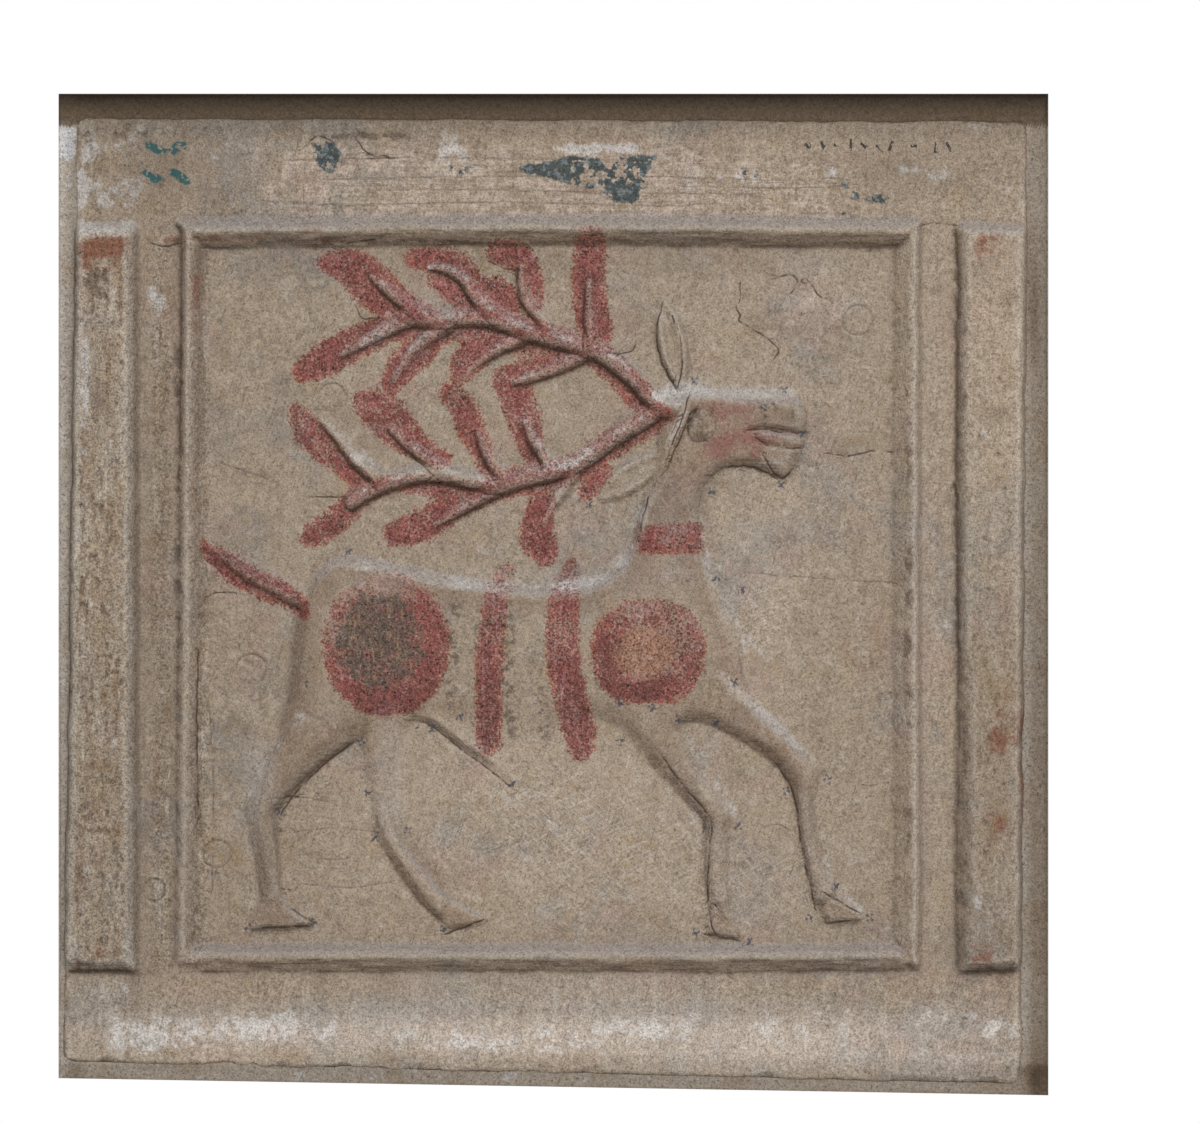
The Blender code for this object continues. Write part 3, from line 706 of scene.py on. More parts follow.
def faceHeight(u, v, rim):
    # height of the face over the rails' ground in millimetres
    ridge, out = raiseBead(u, v)
    strips, stripDepth = raiseStrips(u, v, rim)
    height = ridge + strips + raiseStag(u, v) * ease(3 - out, 0, 6)
    height = blurred(height, 1)
    height += roughen(u, v, rim, stripDepth)
    cutLines(height, u, v)
    over = np.maximum(height - slab["stripRise"] + slab["skin"] + slab["clear"], 0)
    height = height - over + slab["skin"] * (1 - np.exp(-over / slab["skin"]))
    roll = slab["edgeRound"] * (1 + 0.5 * hills(u, v, 30, 75) + 0.3 * hills(u, v, 7, 76))
    edge = np.clip(1 - rim / roll, 0, 1)
    drop = roll * layout["square"] / millimetre * (1 - np.sqrt(1 - edge * edge))
    return height - drop


def slopes(height, u, v, rim):
    # how steeply the smoothed face looks up and to the right, and how hollow it is
    soft = blurred(height, 1)
    step = layout["square"] / millimetre
    up = -np.gradient(soft, axis=0) / (np.gradient(v, axis=0) * step)
    right = -np.gradient(soft, axis=1) / (np.gradient(u, axis=1) * step)
    calm = 1 - 0.85 * ease(8 - rim, 0, 5)
    return up * calm, right * calm, (blurred(height, 3) - height) * calm


def newObject(name, bm):
    mesh = bpy.data.meshes.new(name)
    bm.to_mesh(mesh)
    bm.free()
    piece = bpy.data.objects.new(name, mesh)
    bpy.context.scene.collection.objects.link(piece)
    return piece


def setField(mesh, name, values):
    field = mesh.attributes.get(name) or mesh.attributes.new(name, "FLOAT", "POINT")
    field.data.foreach_set("value", np.asarray(values, np.float32).ravel())


def getPlaces(mesh):
    places = np.empty(len(mesh.vertices) * 3, np.float32)
    mesh.vertices.foreach_get("co", places)
    return places.reshape(-1, 3).astype(float)


def makeFace(corners):
    # the carved face as a fine grid, thinned out where it is plain
    bm = bmesh.new()
    bmesh.ops.create_grid(bm, x_segments=slab["cells"], y_segments=slab["cells"], size=0.5)
    face = newObject("clayPlaque", bm)
    flat = getPlaces(face.data)
    count = slab["cells"] + 1
    order = np.lexsort((flat[:, 0].round(6), flat[:, 1].round(6))).reshape(count, count)
    s, t = flat[order, 0] + 0.5, flat[order, 1] + 0.5
    u, v, rim = slabPlan(s, t, corners)
    height = faceHeight(u, v, rim)
    x, z = toPlace(u, v)
    placed = np.empty_like(flat)
    placed[order] = np.stack([x, -(groundLevel + height) * millimetre, z], -1)
    face.data.vertices.foreach_set("co", placed.astype(np.float32).ravel())
    for name, values in zip(("up", "right", "hollow"), slopes(height, u, v, rim)):
        field = np.empty(count * count)
        field[order] = values
        setField(face.data, name, np.clip(field, -slab["steepest"], slab["steepest"]))
    print("face shaped:", count * count, "places")

    thin = face.modifiers.new("thin", "DECIMATE")
    thin.ratio = slab["triangles"] / (2 * slab["cells"] ** 2)
    bpy.context.view_layer.update()
    result = face.evaluated_get(bpy.context.evaluated_depsgraph_get())
    thinned = bpy.data.meshes.new_from_object(result)
    face.modifiers.clear()
    face.data = thinned
    return face


def growWalls(bm, edges):
    # walls from open edges: their new verts and the new open edges
    grown = bmesh.ops.extrude_edge_only(bm, edges=edges)["geom"]
    verts = {item for item in grown if isinstance(item, bmesh.types.BMVert)}
    found = (item for item in grown if isinstance(item, bmesh.types.BMEdge))
    return verts, [item for item in found if verts.issuperset(item.verts)]


def closeFlat(bm, edges):
    # one flat face over the open edges; all faces are smooth but the flat ones with many corners
    bmesh.ops.contextual_create(bm, geom=edges)
    bmesh.ops.recalc_face_normals(bm, faces=bm.faces)
    for polygon in bm.faces:
        polygon.smooth = len(polygon.verts) <= 4


def closeBack(face):
    # walls straight back from the face's edge, and a flat back
    bm = bmesh.new()
    bm.from_mesh(face.data)
    verts, _ = growWalls(bm, [e for e in bm.edges if e.is_boundary])
    for vert in verts:
        vert.co.y = -footLevel * millimetre
    closeFlat(bm, [e for e in bm.edges if e.is_boundary])
    for e in (e for polygon in bm.faces if not polygon.smooth for e in polygon.edges):
        e.smooth = False
    print("plaque:", sum(len(polygon.verts) - 2 for polygon in bm.faces), "triangles")
    bm.to_mesh(face.data)
    bm.free()


# what is painted, stained or scratched on the face

paint = {
    "spread": 1.2,  # squares that the paint goes past its strokes
    "upperAntler": [
        [(129, 688, 10), (152, 682, 18), (173, 664, 21), (193, 647, 18), (214, 635, 16), (236, 628, 10)],
        [
            (104, 578, 11), (123, 589, 16), (145, 602, 16), (167, 612, 15), (188, 621, 13),
            (210, 623, 11), (232, 622, 9),
        ],
        [(191, 567, 10), (201, 582, 14), (217, 597, 15), (232, 612, 13), (247, 621, 11)],
        [
            (260, 574, 7), (268, 589, 15), (282, 604, 16), (297, 615, 17), (319, 617, 18),
            (340, 612, 16), (360, 606, 13),
        ],
        [(236, 620, 9), (253, 623, 13), (271, 627, 13), (286, 623, 14)],
        [(216, 692, 10), (236, 689, 13), (260, 683, 13), (269, 664, 13), (275, 647, 15), (288, 638, 13)],
        [(236, 670, 7), (249, 662, 10), (260, 649, 9)],
        [(297, 699, 10), (314, 695, 14), (327, 682, 12), (332, 662, 11), (334, 647, 9)],
        [(280, 667, 7), (297, 660, 12), (308, 647, 12), (306, 636, 11)],
        [(390, 707, 15), (390, 687, 15), (389, 664, 16), (391, 642, 16), (395, 620, 17)],
        [
            (320, 613, 16), (342, 611, 15), (365, 606, 13), (387, 599, 13), (409, 586, 13),
            (427, 568, 13), (445, 548, 13), (461, 535, 10),
        ],
        [(304, 570, 11), (320, 577, 11), (338, 582, 11), (356, 587, 10), (376, 593, 9)],
    ],
    "lowerAntler": [
        [
            (454, 530, 11), (432, 519, 13), (409, 504, 13), (387, 488, 13), (365, 479, 13),
            (342, 472, 13), (320, 468, 13),
        ],
        [(405, 478, 7), (394, 468, 10), (387, 459, 8)],
        [(313, 563, 17), (321, 541, 16), (327, 519, 14), (334, 497, 11)],
        [(253, 556, 12), (264, 539, 13), (271, 521, 13), (280, 502, 10), (288, 482, 9)],
        [(167, 547, 13), (182, 537, 20), (201, 519, 18), (221, 502, 11), (240, 491, 10)],
        [(96, 539, 6), (108, 519, 14), (121, 504, 13), (141, 487, 11), (160, 469, 10)],
        [(110, 414, 10), (128, 424, 12), (145, 437, 11), (160, 454, 10)],
        [(345, 450, 11), (338, 430, 14), (338, 411, 17), (345, 396, 11)],
        [(195, 416, 11), (217, 422, 15), (240, 435, 14), (267, 448, 10), (286, 454, 7)],
        [
            (171, 458, 7), (193, 467, 7), (219, 465, 9), (245, 461, 11), (271, 456, 11),
            (297, 463, 13), (319, 469, 13), (340, 474, 13), (360, 476, 13),
        ],
    ],
    "bands": [  # tail and the two stripes over the ribs
        [
            (4, 404, 4), (16, 394, 9), (35, 380, 12), (60, 366, 12), (85, 354, 11), (99, 346, 8),
            (105, 336, 5),
        ],
        [
            (308, 383, 4), (300, 365, 9), (293, 330, 12), (290, 290, 13), (289, 250, 12),
            (289, 215, 12), (287, 203, 9),
        ],
        [
            (372, 386, 4), (366, 359, 13), (363, 330, 15), (364, 289, 16), (371, 249, 16),
            (380, 217, 15), (381, 202, 12),
        ],
    ],
    "neck": [(440, 422), (471, 425), (502, 426), (503, 398), (470, 397), (438, 398)],
    "rump": ((187, 305), (63, 71)),
    "chest": ((448, 298), (56, 52)),
    "chestHole": ((444, 297), (28, 24)),
    "rumpDark": ((179, 310), (47, 51)),
    "ribStreaks": [
        [(309, 345, 4), (310, 290, 6), (311, 240, 6), (312, 215, 4)],
        [(338, 310, 3), (341, 260, 5), (345, 215, 5)],
        [(256, 360, 5), (254, 320, 7), (252, 270, 5), (250, 235, 4)],
        [(270, 322, 3), (280, 326, 4)],
    ],
}


# Soft areas of dirt, stain and bloom, some of them painted light and shade: middle, half sizes and strength.
stains = {
    # whitish bloom; the spot on the top of the head is a painted highlight as well
    "bloomAndHighlight": [
        (-90, 758, 40, 18, 0.85), (-120, 740, 8, 70, 0.6), (-100, 800, 20, 10, 0.5), (-70, 812, 20, 8, 0.5),
        (-90, 722, 32, 8, 0.7), (18, 789, 16, 7, 1.0), (-47, 656, 5, 18, 0.8), (-36, 646, 6, 14, 0.7),
        (-112, 800, 8, 26, 0.6), (-60, 822, 26, 4, 0.5), (-114, 480, 5, 130, 0.45), (-76, 590, 6, 80, 0.5),
        (-84, 180, 5, 60, 0.5), (-112, 60, 5, 60, 0.5), (350, -80, 480, 26, 0.25), (720, 792, 90, 26, 0.05),
        (525, 775, 16, 6, 0.5), (555, 776, 20, 14, 0.5), (612, 778, 26, 10, 0.5), (709, 782, 14, 6, 0.45),
        (808, 767, 12, 28, 0.4), (783, 823, 14, 4, 0.8), (395, 803, 46, 5, 0.75), (345, 798, 20, 4, 0.5),
        (250, 806, 22, 20, 0.75), (268, 780, 8, 14, 0.5), (382, 799, 16, 6, 0.9), (420, 800, 24, 6, 0.9),
        (505, 760, 30, 26, 0.3), (730, 778, 30, 14, 0.5), (640, 780, 16, 8, 0.5), (640, 800, 40, 16, 0.25),
        (-10, -80, 90, 18, 0.62), (90, -76, 50, 14, 0.6), (-60, -90, 30, 24, 0.5),
        (300, -95, 100, 17, 0.55), (450, -75, 50, 18, 0.6), (600, -80, 60, 20, 0.35),
        (796, -84, 24, 14, 0.36), (784, -72, 30, 8, 0.4), (740, -60, 40, 20, 0.35), (-82, -38, 20, 8, 0.6),
        (785, 530, 7, 22, 0.6), (792, 70, 22, 40, 0.3), (818, 90, 4, 26, 0.5), (776, 46, 5, 7, 0.6),
        (170, 490, 30, 14, 0.75), (368, 492, 28, 13, 0.75), (458, 556, 12, 9, 0.8), (228, 682, 6, 4, 1.0),
        (740, 320, 14, 40, 0.35), (-113, 590, 4, 70, 0.7), (102, 240, 9, 22, 0.4), (455, 293, 8, 3, 0.9),
        (170, 362, 10, 6, 0.6),
    ],
    "cream": [
        (625, 655, 60, 46, 0.6), (60, 640, 50, 40, 0.4), (430, 180, 70, 30, 0.4), (300, 60, 90, 40, 0.4),
        (600, 60, 60, 40, 0.35), (560, 440, 60, 90, 0.4), (48, 244, 46, 22, 0.9), (60, 380, 30, 20, 0.5),
        (650, 480, 50, 70, 0.35), (-79, 625, 5, 55, 0.9), (-80, 420, 7, 60, 0.6), (-70, 160, 5, 70, 0.6),
        (-3, 64, 8, 50, 0.8), (14, 100, 16, 16, 0.6), (640, 784, 40, 12, 0.5), (-118, 120, 4, 80, 0.7),
        (-62, 821, 10, 7, 1.0), (-78, 812, 9, 4, 0.8),
    ],
    "rust": [
        (-97, 702, 28, 9, 1.3), (-100, 690, 24, 14, 0.85), (-90, 0, 16, 9, 0.7), (-5, 658, 6, 40, 1.4),
        (-6, 560, 5, 60, 0.5), (790, 703, 18, 16, 1.1), (808, 234, 20, 26, 0.62), (796, 200, 18, 22, 0.62),
        (791, 126, 18, 18, 0.8), (779, -5, 16, 16, 1.1), (821, 170, 5, 120, 0.75), (802, 215, 28, 56, 0.24),
        (765, 520, 5, 120, 0.5), (709, 330, 5, 340, 0.55), (300, 706, 420, 5, 0.55), (30, 712, 120, 4, 0.8),
        (-116, 640, 6, 60, 0.7), (-70, 640, 5, 40, 0.5), (480, 722, 30, 6, 0.4), (690, -5, 20, 8, 0.4),
        (470, 475, 26, 50, 0.25), (560, 505, 30, 12, 0.25), (549, 495, 9, 5, 0.9), (620, 720, 120, 5, 0.4),
        (100, -14, 100, 6, 0.35), (770, 812, 40, 8, 0.35),
    ],
    "ochre": [
        (-79, 650, 9, 34, 0.8), (-82, 470, 16, 130, 0.45), (-92, 150, 20, 150, 0.5),
        (-60, 790, 60, 20, 0.4), (20, 100, 34, 110, 0.5), (10, 560, 24, 120, 0.35), (230, 672, 30, 10, 0.8),
        (305, 682, 30, 9, 0.8), (165, 642, 14, 9, 0.8), (60, 620, 60, 30, 0.3), (-40, 300, 14, 260, 0.4),
        (190, -105, 330, 9, 0.6), (740, 300, 16, 330, 0.35), (640, 300, 50, 60, 0.3),
        (330, 620, 60, 30, 0.2), (-98, 250, 30, 260, 0.25), (60, 200, 60, 200, 0.25),
        (690, 400, 20, 160, 0.3), (520, 700, 120, 6, 0.3), (60, 60, 40, 50, 0.3), (400, 130, 60, 60, 0.2),
        (420, 90, 120, 80, 0.35), (-40, 700, 40, 60, 0.3), (800, 300, 20, 80, 0.4),
        (802, 120, 26, 150, 0.55), (640, 520, 60, 60, 0.3),
    ],
    "solid": [
        (345, 780, 30, 14, 0.6), (425, 758, 16, 14, 0.6), (440, 785, 16, 14, 0.2), (128, 796, 18, 14, 0.25),
        (678, 752, 14, 6, 0.4), (400, 778, 16, 16, -0.15), (550, 772, 14, 12, -0.15),
    ],
    "verdigris": [
        (137, 757, 13, 20, 0.7), (128, 738, 10, 10, 0.5), (72, 781, 20, 14, 0.45), (18, 776, 22, 16, 0.3),
        (470, 778, 20, 8, 0.3),
    ],
    "scratched": [
        (420, 90, 100, 80, 1.0), (560, 60, 60, 50, 0.8), (640, 100, 40, 70, 0.6), (300, 130, 80, 50, 0.7),
        (560, 330, 30, 40, 0.9), (640, 420, 40, 60, 0.4), (110, 60, 70, 40, 0.5),
        (350, 430, 300, 300, 0.25),
    ],
    # pale veils: bloom, and painted light along the lower rail and on the forehead
    "veil": [
        (350, -78, 490, 28, 0.26), (188, 185, 16, 50, 0.2), (190, 130, 14, 20, 0.16),
        (350, -42, 190, 20, 0.16), (-98, -40, 34, 14, 0.16), (620, -112, 220, 12, 0.2),
        (625, 668, 50, 34, 0.12), (62, 175, 16, 34, 0.22), (52, 120, 10, 44, 0.18), (545, 557, 56, 6, 0.45),
        (480, 562, 14, 6, 0.35), (-98, 722, 40, 7, 0.25), (350, 726, 400, 5, 0.05),
        (730, 350, 12, 380, 0.06), (300, 372, 160, 10, 0.12),
    ],
    "blush": [
        (536, 524, 26, 32, 0.9), (522, 500, 32, 14, 0.8), (575, 515, 34, 6, 1.3), (582, 505, 28, 5, 1.1),
        (505, 540, 20, 12, 0.6), (480, 520, 8, 18, 0.5), (560, 494, 14, 6, 0.6), (612, 520, 6, 12, 0.5),
        (605, 188, 8, 8, 0.7), (612, 158, 4, 12, 0.7), (600, 120, 6, 40, 0.4), (445, 560, 16, 10, 0.4),
    ],
    "faded": [
        (187, 362, 46, 16, 0.9), (140, 330, 14, 40, 0.5), (240, 330, 14, 30, 0.2), (448, 334, 44, 18, 0.75),
        (490, 300, 16, 30, 0.35), (300, 360, 14, 24, 0.6), (292, 320, 12, 20, 0.3),
        (366, 360, 16, 22, 0.35), (362, 310, 8, 20, 0.15), (474, 414, 18, 12, 0.75),
        (446, 410, 10, 22, -0.4), (496, 406, 8, 22, -0.3), (60, 370, 50, 14, -0.3), (185, 370, 12, 8, 0.9),
        (187, 250, 46, 20, -0.5), (232, 290, 14, 40, -0.3), (410, 280, 16, 40, -0.5),
        (430, 258, 40, 10, -0.5), (289, 240, 14, 40, -0.5), (374, 240, 16, 44, -0.4),
        (32, 390, 28, 12, -0.6), (340, 410, 20, 20, -0.3), (120, 600, 30, 18, -0.2),
        (130, 420, 20, 14, -0.2), (150, 670, 30, 20, -0.1), (390, 660, 16, 40, -0.2),
        (160, 540, 20, 20, 0.2), (330, 540, 20, 20, 0.1), (240, 620, 60, 10, 0.2), (380, 600, 40, 10, 0.2),
    ],
    # broad brightness, partly random tone and partly painted light: darker under the setting, lighter along
    # the lower rail
    "tone": [
        (735, 785, 90, 32, -0.11), (738, 350, 18, 390, 0.03), (-66, 350, 6, 380, -0.14),
        (560, 330, 44, 100, 0.12), (350, -92, 520, 20, 0.12), (800, 560, 40, 150, 0.06),
        (350, -88, 520, 24, 0.22), (350, -40, 520, 14, 0.06), (-40, 775, 80, 46, -0.12),
        (-40, 792, 40, 20, -0.08), (330, 762, 280, 30, 0.03), (700, 762, 80, 20, -0.03),
        (640, -112, 200, 14, 0.08), (350, 726, 420, 6, -0.09), (718, 350, 6, 360, 0.12),
        (-98, 350, 36, 390, -0.02), (-98, 120, 36, 230, -0.05), (-40, 340, 20, 390, -0.13),
        (738, 350, 18, 390, 0.04), (800, 540, 36, 180, 0.06), (800, 160, 36, 200, -0.06),
        (350, 110, 250, 100, 0.1), (340, 190, 110, 40, 0.04), (50, 590, 90, 110, -0.04),
        (70, 150, 70, 160, -0.06), (345, 300, 30, 70, 0.05), (300, 690, 400, 18, -0.1),
        (560, 440, 60, 60, 0.05),
    ],
    # dark brown stains and dirt; those down the beads' and the right strip's shaded slopes are painted shade
    "shade": [
        (-21, 460, 6, 262, 0.75), (157, 816, 54, 5, 0.55), (285, 815, 20, 10, 0.35),
        (-102, 664, 18, 20, 0.75), (-45, 515, 7, 16, 0.6), (709, 340, 6, 350, 0.6),
        (762, 155, 8, 170, 0.55), (763, 560, 6, 160, 0.5), (57, 475, 26, 20, 0.5), (40, 440, 10, 14, 0.4),
        (185, 813, 60, 4, 0.5), (135, 755, 15, 20, 0.35), (-98, -14, 34, 8, 0.5), (795, -16, 24, 8, 0.75),
        (-4, 20, 4, 26, 0.6), (-70, 780, 30, 12, 0.3), (501, 524, 17, 20, 0.85), (580, 538, 28, 14, 0.65),
        (590, 478, 8, 10, 0.5), (138, 380, 5, 30, 0.45), (-129, 300, 6, 360, 0.4), (108, 26, 12, 8, 0.5),
        (265, 26, 16, 7, 0.5), (80, 24, 30, 4, 0.5), (250, 706, 460, 4, 0.3), (-36, 200, 10, 160, 0.25),
        (100, 320, 14, 70, 0.15), (70, 560, 40, 40, 0.12),
    ],
}

# Pale lines along the light side of a form, rubbed there and with a painted highlight, with half widths.
rubbedAndLit = [
    [
        (145, 388, 4), (200, 380, 6), (270, 366, 5), (360, 364, 5), (400, 374, 6), (432, 402, 5),
        (447, 455, 3),
    ],
    [(455, 550, 6), (475, 560, 7), (500, 562, 6), (550, 559, 6), (597, 557, 4), (606, 545, 2)],
    [(502, 430, 2), (506, 390, 3), (516, 360, 3), (535, 330, 3), (545, 300, 3)],
    [(522, 276, 4), (535, 260, 5), (557, 244, 4), (595, 206, 3), (627, 173, 3)],
    [(621, 115, 2), (629, 80, 2), (638, 62, 2), (662, 38, 2)],
    [(490, 210, 3), (509, 180, 3), (535, 137, 3)],
    [(534, 94, 2), (534, 64, 2)],
    [(545, 320, 2), (556, 304, 2), (568, 290, 1)],
    [(100, 235, 4), (66, 188, 4), (46, 150, 4)],
    [(200, 628, 3), (180, 614, 4), (160, 602, 3)],
    [(-123, 30, 3), (-122, 0, 3)],
    [(-70, 20, 4), (-68, -10, 4)],
    [(470, 628, 2), (455, 640, 2)],
    [(485, 538, 3), (475, 516, 3), (465, 494, 3), (456, 477, 3), (444, 460, 2)],
    [(559, 490, 3), (570, 486, 3), (590, 490, 2)],
]

# Painted brown shade inside a form, away from its edge, and down the right strip's slope.
dusky = [
    [(150, 216, 7), (120, 194, 8), (90, 160, 7), (74, 130, 6), (72, 90, 5), (74, 60, 3)],
    [(184, 145, 3), (200, 118, 5), (222, 88, 6), (246, 56, 5)],
    [(100, 330, 5), (95, 280, 5), (82, 226, 4)],
    [(560, 208, 4), (590, 180, 5), (606, 150, 4), (612, 90, 3)],
    [(430, 222, 4), (470, 178, 5), (500, 150, 4), (514, 120, 3)],
    [(515, 470, 6), (504, 450, 5), (507, 410, 3)],
    [(763, 246, 5), (764, 100, 8), (764, -14, 6)],
    [(762, 712, 2), (762, 480, 3), (762, 250, 3)],
]

# Flaked green paint on the top rail.
flakes = [
    [(114, 806), (116, 790), (120, 781), (130, 777), (142, 786), (141, 795), (134, 808), (124, 809)],
    [(249, 784), (252, 778), (265, 775), (271, 782), (268, 788), (258, 786)],
    [
        (313, 779), (328, 786), (347, 788), (362, 792), (373, 795), (390, 793), (407, 790), (430, 794),
        (457, 795), (448, 780), (446, 766), (440, 752), (433, 746), (415, 748), (400, 760), (385, 762),
        (362, 768), (340, 774),
    ],
    [(531, 778), (552, 784), (559, 776), (556, 768), (544, 764), (541, 756), (548, 772)],
    [(640, 768), (655, 762), (662, 752), (652, 750)],
    [(664, 750), (680, 756), (692, 753), (682, 746)],
    [(633, 741), (646, 738), (656, 732), (640, 733)],
]

# Teal dabs of a brush at the left end of the top rail, with half widths.
dabs = [
    [(-51, 805, 4.0), (-43, 801, 5.0), (-36, 798, 4.0)],
    [(-29, 798, 4.0), (-22, 803, 5.2), (-16, 804, 4.0)],
    [(-54, 777, 4.0), (-46, 772, 5.4), (-39, 770, 4.0)],
    [(-28, 778, 4.0), (-20, 774, 5.4), (-13, 768, 4.0)],
]

# Ticks of a pen at the right end of the rail: middle, half length and turn.
ticks = [
    (608, 803, 4.5, -0.9), (623, 804, 4.5, -1.2), (637, 805, 3.0, 0.0), (651, 805, 5.5, 1.5),
    (664, 804, 4.0, -0.8), (679, 804, 3.0, 0.1), (691, 804, 5.0, 1.2), (714, 804, 3.0, 0.0),
    (736, 803, 6.0, 1.4), (749, 803, 5.0, -1.1),
]

# Small pencil crosses round the figure.
crosses = [
    (512, 459), (390, 445), (516, 370), (542, 360), (535, 268), (478, 230), (516, 227), (452, 242),
    (420, 247), (420, 209), (260, 233), (220, 223), (232, 221), (161, 208), (585, 560), (603, 516),
    (582, 465), (80, 139), (86, 60), (48, 23), (115, 28), (243, 20), (168, 156), (175, 112), (208, 120),
    (587, 159), (628, 171), (636, 63), (550, 8), (496, 17), (538, 124), (506, 120), (610, 32), (670, 32),
    (148, 398), (105, 266), (188, 248), (312, 166), (563, 541), (495, 569),
]


def ellipse(u, v, middle, radii, boxy=2.0):
    # depth inside an ellipse in squares; boxy above 2 squares its corners
    share = np.abs((u - middle[0]) / radii[0]) ** boxy + np.abs((v - middle[1]) / radii[1]) ** boxy
    return (1 - share ** (1 / boxy)) * min(radii)


def paintedRed(u, v):
    red = strokes(u, v, paint["upperAntler"] + paint["lowerAntler"] + paint["bands"])
    red = np.maximum(red, insideOutline(u, v, np.array(paint["neck"], float)))
    red = np.maximum(red, ellipse(u, v, *paint["rump"]))
    return np.maximum(red, ellipse(u, v, *paint["chest"], boxy=2.4))


def nearestMark(u, v, marks):
    # the way along and across the nearest mark in squares, over its size, and 0 near one
    way = np.full((*u.shape, 3), 20.0)
    for a, b, size, turn in marks:
        near = np.hypot(u - a, v - b) < 12
        du, dv = u[near] - a, v[near] - b
        way[near, 0] = (du * math.cos(turn) + dv * math.sin(turn)) / size
        way[near, 1] = dv * math.cos(turn) - du * math.sin(turn)
        way[near, 2] = 0
    return way


def limbShare(u, v):
    # the legs, neck, head and the rim of the body, which are browner: partly their own colour and partly
    # painted shade
    body, farLeg, hooves = stagDepths(u, v)
    depth = np.max([body, farLeg, *hooves], 0)
    aroundHead = blob(u, v, (540, 520), (80, 60))
    share = np.clip(1 - 0.9 * ease(depth, 15, 36) + 0.7 * aroundHead, 0, 1)
    return ease(depth, -3, 5) * share * (1 - blob(u, v, stag["bellyMiddle"], (120, 50)))


def dressFace(face):
    u, v = toSquares(*getPlaces(face.data)[:, [0, 2]].T)
    fields = {name: areas(u, v, entries) for name, entries in stains.items()}
    # the tone holds painted shadow close under the setting's top edge
    fields["tone"] = clayLook["baseTone"] + fields["tone"] - clayLook["topShade"] * ease(v, 800, 832)
    # the feet of the branches carry a band of painted shade
    feet = [[(a, b, antlers["lineHalf"]) for a, b in foot] for foot in branchFeet(0.62)]
    drawn = {  # paths, and how deep outside them the field reaches
        "ribs": (paint["ribStreaks"], -8), "rub": (rubbedAndLit, -8), "dusk": (dusky, -12),
        "sheen": (sheenPaths(), -8), "foot": (feet, -8), "bands": (paint["bands"][1:], -8),
        "teal": (dabs, -6),
    }
    for name, (paths, floor) in drawn.items():
        fields[name] = strokes(u, v, paths, floor)
    fields["red"] = paintedRed(u, v) + paint["spread"]
    fields["chestHole"] = ellipse(u, v, *paint["chestHole"])
    fields["soot"] = ellipse(u, v, *paint["rumpDark"])
    fields["comb"] = np.clip(combPatch(u, v), -20, 20)
    fields["coarse"] = coarseness(u, v)
    fields["limbs"] = limbShare(u, v)
    fields["flake"] = np.max([insideOutline(u, v, np.array(loop, float), -8.0) for loop in flakes], 0)
    fields["crackSide"], fields["crackNear"] = crackLines(u, v)
    for name, values in fields.items():
        setField(face.data, name, values)
    crossMarks = [(a, b, 1.0, 0.9 * math.sin(a * 3.1 + b)) for a, b in crosses]
    for name, marks in (("cross", crossMarks), ("tick", ticks)):
        way = face.data.attributes.new(name, "FLOAT_VECTOR", "POINT")
        way.data.foreach_set("vector", nearestMark(u, v, marks).astype(np.float32).ravel())
    print("paint and stains laid out")


# node helpers


class Nodes:
    # adds nodes to one tree and joins them; a value is a number, a socket or the name of a field

    def __init__(self, tree):
        self.tree = tree
        self.fields = {}

    def given(self, value):
        if not isinstance(value, str):
            return value
        if value not in self.fields:
            attribute = self.add("ShaderNodeAttribute", attribute_name=value)
            self.fields[value] = attribute.outputs["Fac"]
        return self.fields[value]

    def feed(self, socket, value):
        value = self.given(value)
        if isinstance(value, bpy.types.NodeSocket):
            self.tree.links.new(value, socket)
        elif isinstance(value, tuple) and len(value) == 3 and socket.type == "RGBA":
            socket.default_value = (*value, 1)
        else:
            socket.default_value = value

    def add(self, kind, sockets=None, **settings):
        node = self.tree.nodes.new(kind)
        for name, value in settings.items():
            setattr(node, name, value)
        for name, value in (sockets or {}).items():
            self.feed(node.inputs[name], value)
        return node

    def calc(self, operation, *values):
        return self.add("ShaderNodeMath", dict(enumerate(values)), operation=operation).outputs[0]

    def both(self, first, second):
        return self.calc("MULTIPLY", first, second)

    def scaled(self, value, factor, offset):
        return self.calc("MULTIPLY_ADD", value, factor, offset)

    def blend(self, share, low, high, way="MIX"):
        sockets = {0: share, 6: low, 7: high}
        return self.add("ShaderNodeMix", sockets, data_type="RGBA", blend_type=way).outputs[2]

    def between(self, value, low, high, fromShare=0.0, toShare=1.0):
        # 0 below low and 1 above high, eased
        sockets = {"Value": value, "From Min": low, "From Max": high, "To Min": fromShare, "To Max": toShare}
        return self.add("ShaderNodeMapRange", sockets, interpolation_type="SMOOTHSTEP").outputs[0]

    def noise(self, place, scale, detail, roughness=0.5, bend=0.0):
        sockets = {"Vector": place, "Scale": scale, "Detail": detail, "Roughness": roughness}
        return self.add("ShaderNodeTexNoise", {**sockets, "Distortion": bend}).outputs[0]

    def stretched(self, place, sizes):
        return self.add("ShaderNodeVectorMath", {0: place, 1: sizes}, operation="MULTIPLY").outputs[0]


def newGroup(name, inputs, outputs):
    # inputs come with their own values, or with none for a place; every output is a value
    group = bpy.data.node_groups.new(name, "ShaderNodeTree")
    for socketName, value in inputs.items():
        kind = "NodeSocketVector" if value is None else "NodeSocketFloat"
        socket = group.interface.new_socket(socketName, in_out="INPUT", socket_type=kind)
        if value is not None:
            socket.default_value = value
    for socketName in outputs:
        group.interface.new_socket(socketName, in_out="OUTPUT", socket_type="NodeSocketFloat")
    nodes = Nodes(group)
    return nodes, nodes.add("NodeGroupInput").outputs, nodes.add("NodeGroupOutput").inputs


